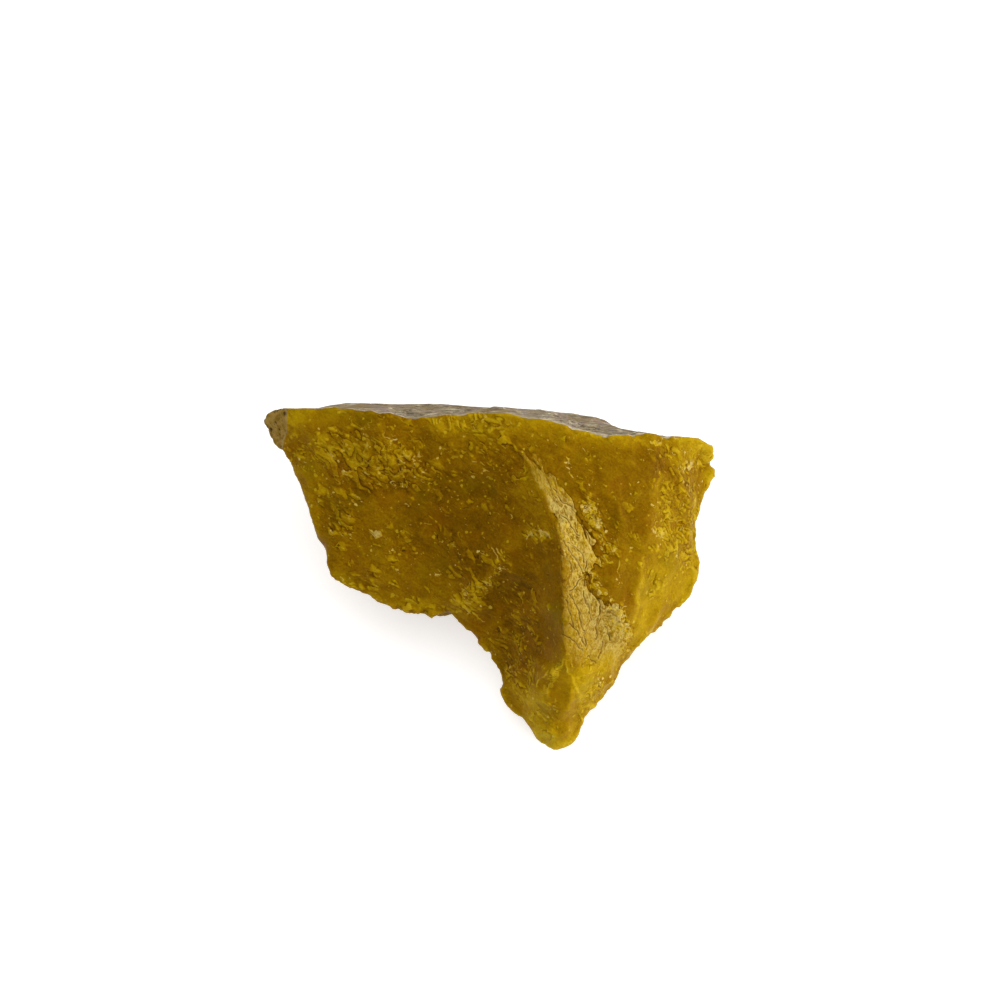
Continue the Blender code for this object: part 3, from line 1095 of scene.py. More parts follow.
@dataclass(frozen=True)
class Tone:
    """How light the stone's body is, from 0 for dark to 1 for pale: its ground, and what each thing adds.

    Sizes and reaches are in millimetres.
    """

    # The ground, with its clouds and its spots.
    ground: float = 0.38
    cloud: float = 0.3
    cloud_size: float = 7.0
    mottle: float = 0.14
    mottle_size: float = 1.7

    # The facets and the marks on them. thin is light painted where the stone is thin, scoop painted shade in
    # the hollow, relief_shading painted light on crests and shade in pits, creamy painted sheen under the
    # break, and seam painted highlights along facet edges.
    top: float = 0.16
    top_edge: Span = (-1.0, 1.2)
    band: float = 0.22
    band_fray: float = 1.5
    band_edge: Span = (-1.6, 1.8)
    thin: float = 0.4
    scoop: float = -0.12
    scoop_edge: Span = (-0.8, 1.2)
    tip: float = -0.06
    tip_fray: float = 0.3
    tip_edge: Span = (-0.3, 0.3)
    relief_shading: float = 0.12
    creamy: float = 0.2
    seam: float = 0.2
    edge_highlight_share: float = 0.75
    edge_highlight_mottle: float = 1.6

    # Painted light up the flakes' steps and painted shadow at their feet, grain, painted light and shade on
    # the creases, and the painted shadow at the foot of the step beside the creamy break.
    flake: float = 0.26
    flake_rise: Span = (0.1, 0.75)
    flake_foot: float = -0.28
    flake_foot_rise: Span = (0.17, 0.04)
    grain: float = 0.42
    grain_size: float = 0.26
    crinkle: float = 1.05
    cliff: float = -0.42

    # How far the facets' borders wander.
    ragged_size: float = 1.1
    ragged_reach: float = 1.6


@dataclass(frozen=True)
class Hue:
    """How the body turns greener or redder from place to place, and how its bright marks, partly painted
    glints, are broken up.
    """

    # The body's drift to green and to red, and how strong its cracks are.
    size: float = 4.2
    greenest: float = 0.35
    green_at: Span = (0.54, 0.72)
    green_lost_by_flakes: float = 0.2
    reddest: float = 0.3
    red_at: Span = (0.46, 0.3)
    red_of_flakes: float = 0.1
    crack_below: float = 0.8

    # Bright marks, partly painted glints: where they are paler, where they break off, and how strong each
    # kind is.
    paler_size: float = 1.3
    paler_at: Span = (0.5, 0.75)
    paler_patches: float = 0.16
    broken_size: float = 0.9
    unbroken_at: Span = (0.4, 0.58)
    scratch: float = 0.7
    scratch_edge: Span = (0.3, 0.9)
    stroke: float = 0.4
    stroke_where_paler: float = 0.4
    glint_shard: float = 0.65
    glint_shard_grain: float = 1.5
    glint_crumb: float = 0.6
    glint_crumb_where_paler: float = 0.4


@dataclass(frozen=True)
class Marks:
    """How the marks that are finer than the mesh are sized, in millimetres, and how common they are."""

    # Fine creases.
    crinkle_size: float = 0.8
    crinkle_length: float = 2.6
    crinkle_everywhere: float = 0.15

    # Short bright strokes, raised in the bump and coloured as painted glints.
    stroke_size: float = 0.62
    stroke_length: float = 2.0
    stroke_deg: float = -38.0
    stroke_edge: Span = (0.0, 0.03)
    fewest: float = 0.715
    crowding: float = 0.12

    # Bright crumbs, each in its own cell: painted glints, partly pale flecks of the stone.
    glint_crumb_size: float = 0.55
    glint_crumb_rag_size: float = 0.4
    glint_crumb_shift: float = 0.5
    glint_crumbs_from: float = 0.69
    glint_crumbs_by_flakes: float = 0.13
    glint_crumbs_by_patches: float = 0.05
    glint_crumb_spread: float = 1.6
    glint_crumb_edge: Span = (0.0, 0.08)

    # Pale shards, partly painted glints.
    glint_shard_size: float = 0.7
    glint_shard_length: float = 1.8
    glint_shards_by_patches: float = 0.3
    glint_shard_edge: Span = (0.25, 0.28)

    # Where the mesh's own flakes show, and which way the cracks run.
    flakes_edge: Span = (-0.05, 0.08)
    crack_deg: float = -66.0


@dataclass(frozen=True)
class Creamy:
    """How the creamy break is torn and streaked. Its cream is partly the break's own pale colour and partly
    painted sheen, and the glint in its streaks, plates and crack rims is painted highlight. Sizes are in
    millimetres, and lengths in widths.
    """

    # Its torn edge, the painted shadow at the step on its right, and how unevenly it covers the stone.
    torn_size: float = 0.7
    torn_length: float = 2.4
    torn_reach: float = 2.2
    edge: Span = (-0.08, 0.12)
    cliff_foot: Span = (-0.5, -0.16)
    cliff_top: Span = (0.0, -0.08)
    mottling: float = 0.9

    # Streaks, and finer ones.
    streak_size: float = 0.55
    streak_length: float = 3.5
    streak_dark: float = 0.8
    streak_dark_at: Span = (0.51, 0.39)
    streak_light: float = 0.16
    streak_light_at: Span = (0.52, 0.6)
    streak_light_in_milk: float = 0.5
    fine_size: float = 0.27
    fine_length: float = 3.0
    fine_dark: float = 0.75
    fine_dark_at: Span = (0.48, 0.37)
    fine_light: float = 0.7
    fine_light_at: Span = (0.53, 0.62)

    # Thin plates, the gaps between them, and how far they swerve.
    plate_size: float = 0.95
    plate_length: float = 3.6
    plate_dark: float = 0.5
    plate_dark_at: Span = (0.5, 0.2)
    plate_light: float = 0.32
    plate_light_at: Span = (0.55, 0.75)
    gap_dark: float = 0.8
    gap_width: Span = (0.09, 0.03)
    gap_at: Span = (0.6, 0.42)
    swerve_size: float = 1.6
    swerve_reach: float = 1.1

    # Milky blots, and where they turn it from straw to cream.
    blot_size: float = 1.5
    blot_share: float = 1.2
    cream_where_milky: Span = (0.1, 0.75)

    # Cracks, and the painted highlights on their rims.
    rim_light: float = 0.55
    rim_edge: Span = (0.02, 0.2)
    crack_dark: float = 0.9
    crack_edge: Span = (0.36, 0.86)
    crack_break_size: float = 0.8
    crack_break: float = 1.4
    crack_least: float = 0.15


@dataclass(frozen=True)
class RindGrain:
    """How the rind and the knob are marked. Sizes are in millimetres, and lengths in widths."""

    # The borders of the rind and the knob.
    edge_size: float = 0.6
    rind_fray: float = 0.3
    rind_edge: Span = (-0.08, 0.08)
    knob_fray: float = 0.4
    knob_edge: Span = (-0.1, 0.1)

    # Streaks and lines along the rind.
    beige_at: Span = (0.42, 0.58)
    light_at: Span = (0.53, 0.64)
    streak_size: float = 0.5
    streak_length: float = 5.0
    streak_deg: float = 3.0
    streak_dark: float = 0.6
    streak_dark_at: Span = (0.4, 0.3)
    line_length: float = 9.0
    line_deg: float = 4.0
    line_width: Span = (0.042, 0.014)
    line_dark: float = 0.8
    down_slope: float = 2.4

    # Where the streaks are clearer, and patches of other colours.
    broad_size: float = 6.0
    faintest: float = 0.55
    clearer: float = 0.5
    clearer_at: Span = (0.4, 0.6)
    dun_share: float = 0.5
    dun_at: Span = (0.5, 0.36)
    patch_size: float = 2.6
    patch_length: float = 1.5
    rose_share: float = 0.6
    rose_at: Span = (0.52, 0.66)
    tan_share: float = 0.4
    tan_at: Span = (0.45, 0.33)

    # Speckles, and the light brink.
    speckle_size: float = 0.3
    speckle_dark: float = 0.55
    speckle_at: Span = (0.36, 0.26)
    brink_light: float = 0.55

    # The knob.
    knob_pit_size: float = 1.1
    knob_pit_dark: float = 0.8
    knob_pit_width: Span = (0.36, 0.2)
    knob_patch_size: float = 0.8
    knob_dun_at: Span = (0.35, 0.65)
    knob_grain_dark: float = 0.5
    knob_grain_at: Span = (0.45, 0.3)
    knob_border: float = 0.1
    knob_border_width: Span = (0.13, 0.05)
    knob_border_light: float = 0.22


@dataclass(frozen=True)
class Flaking:
    """How the stone's surface is flaked at each point.

    rise tells how far up its step a point of a flake lies, from 0 to 1. shown tells where such steps show.
    strokes tells where bright strokes are. crinkle is the height of the finest creases, about 0.
    """

    rise: Value
    shown: Value
    strokes: Value
    crinkle: Value


@dataclass
class CloudyTopaz:
    """The stone's finish: cloudy amber with flecks, a creamy break, and a dull grey rind. Its colour holds
    painted light: painted sheen on the break, painted glints and highlights, light painted where the stone is
    thin, and painted shade and shadow in hollows and under flakes.
    """

    stone: StonePalette = field(default_factory=StonePalette)
    rind: RindPalette = field(default_factory=RindPalette)
    gloss: Gloss = field(default_factory=Gloss)
    tone: Tone = field(default_factory=Tone)
    hue: Hue = field(default_factory=Hue)
    marks: Marks = field(default_factory=Marks)
    creamy: Creamy = field(default_factory=Creamy)
    rind_grain: RindGrain = field(default_factory=RindGrain)
    graph: Graph = field(default_factory=lambda: Graph("cloudy_topaz"))

    def made(self) -> bpy.types.Material:
        """Builds the node tree.

        Returns:
            The finished material.
        """
        g, gloss, grain = self.graph, self.gloss, self.rind_grain
        place = g.place()
        frayed = g.noise(place, grain.edge_size, detail=3.0) - 0.5
        rind = (g.stored(Field.RIND) + frayed * grain.rind_fray).eased(*grain.rind_edge)
        knob = (g.stored(Field.KNOB) + frayed * grain.knob_fray).eased(*grain.knob_edge)
        dull = rind.most(knob)
        flaking = Flaking(
            rise=g.stored(Field.STEPS).fraction(),
            shown=g.stored(Field.SHOWN).eased(*self.marks.flakes_edge),
            strokes=self._strokes(),
            crinkle=self._crinkle(),
        )
        creamy = self._creamy_share()
        colour = self._stone_colour(place, flaking, creamy)
        colour = g.mixed(rind, colour, self._rind_colour(place))
        colour = g.mixed(knob, colour, self._knob_colour(place))
        rough = gloss.roughness - gloss.creamy_polish * creamy
        rough = rough + gloss.unevenness * (g.noise(place, gloss.uneven_size) - 0.5)
        rough = rough * (1 - dull) + gloss.dull_roughness * dull
        g.feed(g.shader.inputs["Base Color"], colour)
        g.feed(g.shader.inputs["Roughness"], rough)
        g.feed(g.shader.inputs["Normal"], self._normal(place, flaking, dull))
        g.shader.subsurface_method = "RANDOM_WALK"
        g.feed(g.shader.inputs["Subsurface Weight"], gloss.cloudiness)
        g.feed(g.shader.inputs["Subsurface Radius"], gloss.glow)
        g.feed(g.shader.inputs["Subsurface Scale"], gloss.glow_reach * MM)
        g.feed(g.shader.inputs["IOR"], gloss.refraction)
        g.feed(g.shader.inputs["Specular IOR Level"], gloss.shine)
        g.feed(g.shader.inputs["Specular Tint"], gloss.shine_tint)
        return g.material

    def _normal(
        self, place: bpy.types.NodeSocket, flaking: Flaking, dull: Value
    ) -> bpy.types.NodeSocket:
        """The surface's normal, with what is finer than the mesh: grain, the flakes' edges and creases.

        Args:
            place: the place on the stone, in millimetres.
            flaking: how the surface is flaked.
            dull: where the rind and the knob are.

        Returns:
            The normal's socket.
        """
        g, gloss = self.graph, self.gloss
        normal = g.bumped(g.noise(place, gloss.grain_size, detail=3.0), gloss.grain_height)
        raised = flaking.rise.least((1 - flaking.rise) * gloss.flake_fall) * flaking.shown
        raised = raised + flaking.strokes * gloss.stroke_lift
        normal = g.bumped(raised * (1 - dull), gloss.flake_height, normal)
        return g.bumped(flaking.crinkle * (1 - dull), gloss.crinkle_height, normal)

    def _strokes(self) -> Value:
        """Short bright strokes along the flakes, raised in the bump and coloured as painted glints.

        Returns:
            Where they are, from 0 to 1.
        """
        g, marks = self.graph, self.marks
        place = g.place((marks.stroke_length, 1, 1), marks.stroke_deg)
        level = g.noise(place, marks.stroke_size, detail=1.5, warp=1.3)
        return (level - (marks.fewest - marks.crowding * g.stored(Field.DENSE))).eased(*marks.stroke_edge)

    def _crinkle(self) -> Value:
        """Fine creases that run the way the flakes lie, strongest where flakes are crowded.

        Returns:
            Their height, about 0.
        """
        g, marks = self.graph, self.marks
        place = g.place((marks.crinkle_length, 1, 1), marks.stroke_deg)
        level = g.noise(place, marks.crinkle_size, detail=4.0, warp=1.3, rough=0.6) - 0.5
        return level * (marks.crinkle_everywhere + g.stored(Field.DENSE))

    def _break_depth(self) -> Value:
        """How far inside the creamy break each point lies, with the break's ragged edge.

        Returns:
            The depth, in millimetres. It is negative outside.
        """
        g, creamy = self.graph, self.creamy
        along = g.place((creamy.torn_length, 1, 1), self.marks.crack_deg)
        ragged = g.noise(along, creamy.torn_size, detail=3.0) - 0.5
        return g.stored(Field.SHEEN) + ragged * creamy.torn_reach

    def _creamy_share(self) -> Value:
        """Where the break beside the ridge shows creamy, partly as painted sheen, from 0 to 1."""
        return self._break_depth().eased(*self.creamy.edge) * self.graph.stored(Field.RIDGE)

    def _cliff(self) -> Value:
        """The painted shadow at the foot of the step where the creamy break ends on its right, from 0 to 1.
        """
        inside, creamy = self._break_depth(), self.creamy
        step = inside.eased(*creamy.cliff_foot) * inside.eased(*creamy.cliff_top)
        return step * self.graph.stored(Field.RIDGE)

    def _cracks(self) -> Value:
        """Thin dark cracks that fan out down the creamy break, broken here and there.

        Returns:
            Where they are, from 0 to 1.
        """
        g, creamy = self.graph, self.creamy
        broken = g.noise(g.place(), creamy.crack_break_size, detail=3.0)
        whole = g.stored(Field.CRACK).eased(*creamy.crack_edge)
        return whole * (broken * creamy.crack_break + creamy.crack_least)

    def _cream(self, place: bpy.types.NodeSocket) -> bpy.types.NodeSocket:
        """The colour of the creamy break: straw to cream, streaked the way it split, partly painted sheen
        with painted highlights in glint.

        Args:
            place: the place on the stone, in millimetres.

        Returns:
            The colour's socket.
        """
        g, colours, creamy, turn_deg = self.graph, self.stone, self.creamy, self.marks.crack_deg
        streaked = g.place((creamy.streak_length, 1, 1), turn_deg)
        streaks = g.noise(streaked, creamy.streak_size, detail=4.0, warp=0.6, rough=0.6)
        swerve = g.noise(place, creamy.swerve_size, output="Color")
        plates = g.shifted(g.place((creamy.plate_length, 1, 1), turn_deg), swerve, creamy.swerve_reach)
        plate = g.cells(plates, creamy.plate_size, "Color")
        border = g.cells(plates, creamy.plate_size, "Distance", "DISTANCE_TO_EDGE")
        gap = border.eased(*creamy.gap_width)
        finest = g.place((creamy.fine_length, 1, 1), turn_deg)
        fine = g.noise(finest, creamy.fine_size, detail=3.0, warp=0.8, rough=0.6)
        blots = g.noise(place, creamy.blot_size, detail=3.0)
        milk = g.stored(Field.MILK) + creamy.blot_share * (blots - 0.5)
        lit = creamy.streak_light + creamy.streak_light_in_milk * milk
        rims = g.stored(Field.CRACK).eased(*creamy.rim_edge)
        layers = (
            (streaks.eased(*creamy.streak_dark_at) * creamy.streak_dark, colours.amber),
            (streaks.eased(*creamy.streak_light_at) * lit, colours.glint),
            (plate.eased(*creamy.plate_dark_at) * creamy.plate_dark, colours.honey),
            (plate.eased(*creamy.plate_light_at) * creamy.plate_light, colours.glint),
            (gap * streaks.eased(*creamy.gap_at) * creamy.gap_dark, colours.crack),
            (fine.eased(*creamy.fine_dark_at) * creamy.fine_dark, colours.amber),
            (fine.eased(*creamy.fine_light_at) * creamy.fine_light, colours.glint),
            (rims * creamy.rim_light, colours.glint),
            (self._cracks() * creamy.crack_dark, colours.crack),
        )
        ground = g.mixed(milk.eased(*creamy.cream_where_milky), colours.straw, colours.cream)
        return g.layered(ground, layers)

    def _mottle(self, place: bpy.types.NodeSocket) -> Value:
        """Small light and dark spots, about 0."""
        return self.graph.noise(place, self.tone.mottle_size, detail=3.0) - 0.5

    def _grain(self, place: bpy.types.NodeSocket) -> Value:
        """The finest light and dark grain, about 0."""
        return self.graph.noise(place, self.tone.grain_size) - 0.5

    def _body_tone(self, place: bpy.types.NodeSocket, flaking: Flaking, creamy: Value) -> Value:
        """How light the stone's body is.

        Args:
            place: the place on the stone, in millimetres.
            flaking: how the surface is flaked.
            creamy: where the creamy break shows.

        Returns:
            The tone, from 0 for the darkest colour to 1 for the palest.
        """
        g, tone = self.graph, self.tone
        ragged = (g.noise(place, tone.ragged_size, detail=3.0) - 0.5) * tone.ragged_reach
        mottle = self._mottle(place)
        mottled = tone.edge_highlight_mottle * mottle + tone.edge_highlight_share
        # Many parts are painted light and shade: light through thin stone, the shade patches, shade in the
        # scoop, light on crests and shade in pits, sheen under the break, highlights along facet edges, light
        # up the flakes' steps and shadow at their feet, light and shade on the creases, and the shadow at the
        # cliff.
        parts = (
            (tone.cloud, g.noise(place, tone.cloud_size, detail=3.0) - 0.5),
            (tone.mottle, mottle),
            (tone.top, (g.stored(Field.TOP) + ragged).eased(*tone.top_edge)),
            (tone.band, (g.stored(Field.BAND) + ragged * tone.band_fray).eased(*tone.band_edge)),
            (tone.thin, g.stored(Field.THIN)),
            (1.0, g.stored(Field.SHADE)),
            (tone.scoop, g.stored(Field.SCOOP).eased(*tone.scoop_edge)),
            (tone.tip, (g.stored(Field.TIP) + ragged * tone.tip_fray).eased(*tone.tip_edge)),
            (tone.relief_shading, g.stored(Field.RELIEF_SHADING)),
            (tone.creamy, creamy),
            (tone.seam, (g.stored(Field.EDGE_HIGHLIGHT) * mottled).most(0.0)),
            (tone.flake, flaking.rise.eased(*tone.flake_rise) * flaking.shown),
            (tone.flake_foot, flaking.rise.eased(*tone.flake_foot_rise) * flaking.shown),
            (tone.grain, self._grain(place)),
            (tone.crinkle, flaking.crinkle),
            (tone.cliff, self._cliff()),
        )
        return sum((weight * part for weight, part in parts), tone.ground)

    def _stone_colour(
        self, place: bpy.types.NodeSocket, flaking: Flaking, creamy: Value
    ) -> bpy.types.NodeSocket:
        """The colour of the broken stone.

        Args:
            place: the place on the stone, in millimetres.
            flaking: how the surface is flaked.
            creamy: where the creamy break shows.

        Returns:
            The colour's socket.
        """
        g, colours, hue = self.graph, self.stone, self.hue
        tone = self._body_tone(place, flaking, creamy)
        ramp = g.node("ShaderNodeValToRGB", {"stops": colours.by_tone()}, {0: tone})
        drift = g.noise(place, hue.size)
        dense = g.stored(Field.DENSE)
        body = (
            (drift.eased(*hue.green_at) * (hue.greenest - hue.green_lost_by_flakes * dense), colours.green),
            (drift.eased(*hue.red_at) * hue.reddest + hue.red_of_flakes * dense, colours.russet),
            (self._cracks() * hue.crack_below, colours.crack),
            (creamy * (1.0 + self.creamy.mottling * self._mottle(place)), self._cream(place)),
        )
        # The bright marks mix pale and glint colours: painted glints and highlights, partly the flakes' own
        # paler colour.
        paler = g.noise(place, hue.paler_size) + hue.paler_patches * g.stored(Field.PALE)
        paler = paler.eased(*hue.paler_at)
        bright = g.mixed(paler, colours.pale, colours.glint)
        broken = g.noise(place, hue.broken_size, detail=3.0).eased(*hue.unbroken_at)
        marks = (
            (g.stored(Field.SCRATCH).eased(*hue.scratch_edge) * broken * hue.scratch, bright),
            (flaking.strokes * (hue.stroke + hue.stroke_where_paler * paler), bright),
            (self._glint_shards() * (hue.glint_shard + hue.glint_shard_grain * self._grain(place)), bright),
            (self._glint_crumbs(place) * (hue.glint_crumb + hue.glint_crumb_where_paler * paler), bright),
        )
        return g.layered(ramp.outputs["Color"], body + marks)

    def _glint_crumbs(self, place: bpy.types.NodeSocket) -> Value:
        """Small bright crumbs, each in its own cell: painted glints, partly pale flecks of the stone.

        Args:
            place: the place on the stone, in millimetres.

        Returns:
            Where they are, from 0 to 1.
        """
        g, marks = self.graph, self.marks
        swerve = g.noise(place, marks.glint_crumb_rag_size, output="Color")
        ragged = g.shifted(place, swerve, marks.glint_crumb_shift)
        rare = marks.glint_crumbs_from - marks.glint_crumbs_by_flakes * g.stored(Field.DENSE)
        rare = rare - marks.glint_crumbs_by_patches * g.stored(Field.PALE)
        spread = (g.cells(ragged, marks.glint_crumb_size, "Color") - rare) * marks.glint_crumb_spread
        return (spread - g.cells(ragged, marks.glint_crumb_size)).eased(*marks.glint_crumb_edge)

    def _glint_shards(self) -> Value:
        """Small pale shards, partly painted glints, close together at a few places and rare elsewhere.

        Returns:
            Where they are, from 0 to 1.
        """
        g, marks = self.graph, self.marks
        place = g.place((marks.glint_shard_length, 1, 1), marks.stroke_deg)
        level = g.noise(place, marks.glint_shard_size, detail=3.0, warp=0.8) - 0.5
        return (level + marks.glint_shards_by_patches * g.stored(Field.PALE)).eased(*marks.glint_shard_edge)

    def _rind_colour(self, place: bpy.types.NodeSocket) -> bpy.types.NodeSocket:
        """The colour of the weathered rind: grey-beige, streaked along the stone.

        Args:
            place: the place on the stone, in millimetres.

        Returns:
            The colour's socket.
        """
        g, colours, grain = self.graph, self.rind, self.rind_grain
        streaked = g.place((grain.streak_length, 1, grain.down_slope), grain.streak_deg)
        streaks = g.noise(streaked, grain.streak_size, detail=6.0, warp=0.18, rough=0.72)
        lined = g.place((grain.line_length, 1, grain.down_slope), grain.line_deg)
        lines = g.noise(lined, grain.streak_size, detail=4.0, warp=0.2, rough=0.6)
        patched = g.place((grain.patch_length, 1, grain.patch_length))
        patches = g.noise(patched, grain.patch_size, detail=3.0)
        speckle = g.noise(place, grain.speckle_size, detail=4.0, rough=0.6)
        broad = g.noise(place, grain.broad_size, detail=3.0)
        crisp = broad.eased(*grain.clearer_at) * grain.clearer + grain.faintest
        layers = (
            (broad.eased(*grain.dun_at) * grain.dun_share, colours.dun),
            (patches.eased(*grain.rose_at) * grain.rose_share, colours.rose),
            (patches.eased(*grain.tan_at) * grain.tan_share, colours.tan),
            (streaks.eased(*grain.light_at) * crisp, colours.light),
            (streaks.eased(*grain.streak_dark_at) * crisp * grain.streak_dark, colours.line),
            (abs(lines - 0.5).eased(*grain.line_width) * crisp * grain.line_dark, colours.line),
            (speckle.eased(*grain.speckle_at) * grain.speckle_dark, colours.line),
            (g.stored(Field.BRINK) * grain.brink_light, colours.light),
        )
        ground = g.mixed(streaks.eased(*grain.beige_at) * crisp, colours.grey, colours.beige)
        return g.layered(ground, layers)

    def _knob_colour(self, place: bpy.types.NodeSocket) -> bpy.types.NodeSocket:
        """The colour of the pitted knob: tan, with dark pits and a paler border.

        Args:
            place: the place on the stone, in millimetres.

        Returns:
            The colour's socket.
        """
        g, colours, grain = self.graph, self.rind, self.rind_grain
        patches = g.noise(place, grain.knob_patch_size, detail=3.0)
        fine = g.noise(place, grain.speckle_size)
        pits = g.cells(place, grain.knob_pit_size).eased(*grain.knob_pit_width)
        border = abs(g.stored(Field.KNOB) - grain.knob_border).eased(*grain.knob_border_width)
        layers = (
            (fine.eased(*grain.knob_grain_at) * grain.knob_grain_dark, colours.pit),
            (pits * grain.knob_pit_dark, colours.pit),
            (border * grain.knob_border_light, colours.beige),
        )
        return g.layered(g.mixed(patches.eased(*grain.knob_dun_at), colours.tan, colours.dun), layers)


# --------------------------------------------------------------------------------------------------
# The stone
# --------------------------------------------------------------------------------------------------


@dataclass
class Stone:
    """The whole stone: one lump, with its rind. Lengths are in millimetres.

    The mesh's edges are split to about edge_front in front, edge_behind behind, and edge_fine where the
    finest lines are. Rays of ray_length that begin ray_start below the surface find where the stone is thin,
    and clear_depth is how thick it may be and still be painted lighter, as painted light shining through it.
    """

    node: str = "rough_topaz"
    slot: str = "cloudy_topaz"
    name: str = "topaz_stone"
    edge_front: float = 0.39
    edge_behind: float = 0.75
    edge_fine: float = 0.145
    split_rounds: int = 4
    smoothing: int = 4
    weld: float = 0.001
    underside_facing: float = -0.999
    facing_rounds: int = 6
    inward_rounds: int = 4
    thin_rounds: int = 8
    seen_facing: float = -0.1
    rind_seen_from: float = 6.0
    rind_seen_to: float = -6.0
    rind_seen_facing: float = 0.3
    ray_start: float = 0.6
    ray_length: float = 30.0
    clear_depth: float = 3.2
    plane: FacePlane = field(default_factory=FacePlane)
    places: Places = field(default_factory=Places)
    seeds: Seeds = field(default_factory=Seeds)
    relief: Relief = field(default_factory=Relief)
    borders: Borders = field(default_factory=Borders)

    def build(self) -> bpy.types.Object:
        """Makes the stone's mesh, dresses it and tells the frame what it stands for.

        Returns:
            The finished object, in metres.
        """
        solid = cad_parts[self.node]
        stone = bpy.data.objects.new(self.name, self._split(solid))
        bpy.context.scene.collection.objects.link(stone)
        skin = Skin(stone.data)
        # The underside stays flat on the floor.
        free = (skin.points[:, 2] > 0)[:, None]
        skin.place(np.where(free, skin.softened(self.smoothing), skin.points))
        skin.place(self._eased_ridge(skin))
        fields = self._fields(skin)
        self._roughen(skin, fields)
        self._finish_fields(skin, fields, solid)
        for name, values in fields.items():
            skin.write(name, values)
        self._crisp_rim(stone.data)
        stone.data.transform(Matrix.Scale(MM, 4))
        stone.data.materials.append(CloudyTopaz().made())
        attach(stone, "root")
        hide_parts(self.node)
        return stone

    def _split(self, solid: bpy.types.Object) -> bpy.types.Mesh:
        """A fine mesh over the solid, in millimetres, finest where the finest lines are.

        Args:
            solid: the stone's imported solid, in metres.

        Returns:
            The mesh. Its flat underside keeps its few large faces.
        """
        work = bmesh.new()
        work.from_mesh(solid.data)
        bmesh.ops.remove_doubles(work, verts=work.verts[:], dist=self.weld * MM)
        bmesh.ops.scale(work, vec=(1 / MM,) * 3, verts=work.verts[:])
        for _ in range(self.split_rounds):
            work.normal_update()
            work.verts.index_update()
            limits = self._edge_limits(work)
            long = [edge for edge in work.edges if self._is_long(edge, limits)]
            bmesh.ops.subdivide_edges(work, edges=long, cuts=1)
            bmesh.ops.triangulate(
                work, faces=[face for face in work.faces if len(face.verts) > 3], quad_method="SHORT_EDGE"
            )
        mesh = bpy.data.meshes.new(self.name)
        work.to_mesh(mesh)
        work.free()
        # The solid's own shading doesn't fit the mesh once it is split.
        for name in ("custom_normal", "sharp_face"):
            if name in mesh.attributes:
                mesh.attributes.remove(mesh.attributes[name])
        return mesh

    def _edge_limits(self, work: bmesh.types.BMesh) -> Floats:
        """How long an edge may be at each corner of the mesh.

        Args:
            work: the mesh, in millimetres.

        Returns:
            One length a corner, in millimetres.
        """
        borders, places = self.borders, self.places
        where = self.plane.places(np.array([corner.co[:] for corner in work.verts]))
        facing = self.plane.directions(np.array([corner.normal[:] for corner in work.verts]))
        on_rind = (where[:, 1] > self.rind_seen_from) & (where[:, 2] > self.rind_seen_to)
        on_rind &= facing[:, 1] > self.rind_seen_facing
        seen = (facing[:, 2] > self.seen_facing) | on_rind
        lines = [line.away(where) for line in places.scratches + places.hackles]
        fine = places.sheen.depth(where) > -borders.fine_reach
        fine |= np.minimum.reduce(lines) < borders.fine_beside_lines
        fine &= facing[:, 2] > borders.side_facing
        return np.where(fine, self.edge_fine, np.where(seen, self.edge_front, self.edge_behind))

    def _is_long(self, edge: bmesh.types.BMEdge, limits: Floats) -> bool:
        """Whether an edge is to be split. Edges across the flat underside are left.

        Args:
            edge: the edge.
            limits: how long an edge may be at each corner of the mesh.

        Returns:
            True for an edge that is longer than its two ends' mean limit, away from the underside.
        """
        first, second = edge.verts
        on_floor = first.co.z == 0 and second.co.z == 0
        if on_floor and all(face.normal.z < self.underside_facing for face in edge.link_faces):
            return False
        return edge.calc_length() > (limits[first.index] + limits[second.index]) / 2

    def _fields(self, skin: Skin) -> dict[Field, Floats]:
        """How far each point lies inside each break and mark of the stone.

        Args:
            skin: the surface.

        Returns:
            The values that are stored for each point, apart from what depends on the finished shape.
        """
        where = self.plane.places(skin.points)
        facing = self.plane.directions(skin.blurred(skin.normals, self.facing_rounds))
        front = facing[:, 2] > self.borders.front_facing
        return (
            self._regions(where, facing, front)
            | self._shading(where, front)
            | self._flakes(where, front)
            | self._lines(where, front)
        )

    def _regions(self, where: Floats, facing: Floats, front: Bools) -> dict[Field, Floats]:
        """How far each point lies inside each region of the stone.

        Args:
            where: the points, in the face's frame.
            facing: which way the surface faces there.
            front: whether it faces the front.

        Returns:
            One value a point for each: a depth, negative outside, or a share at the brink and the ridge.
        """
        places, borders = self.places, self.borders
        away = np.where(front, 0.0, borders.hidden)
        rind = self._rind_depth(where, facing)
        brink = eased(np.abs(rind - borders.brink), *borders.brink_width)
        on_right = facing[:, 0] > borders.side_facing
        return {
            Field.RIND: np.minimum(rind, where[:, 1] - borders.rind_from),
            Field.BRINK: brink * eased(facing[:, 2], *borders.brink_facing),
            Field.KNOB: -places.knob_edge.right_of(where),
            Field.SHEEN: self._creamy_depth(where) + away,
            Field.RIDGE: self._creamy_share(where),
            Field.BAND: np.where(on_right, places.band_edge.right_of(where), borders.hidden),
            Field.TIP: places.tip.depth(where) + away,
            Field.SCOOP: places.scoop.depth(where) + away,
            Field.TOP: places.top.depth(where) + away,
        }

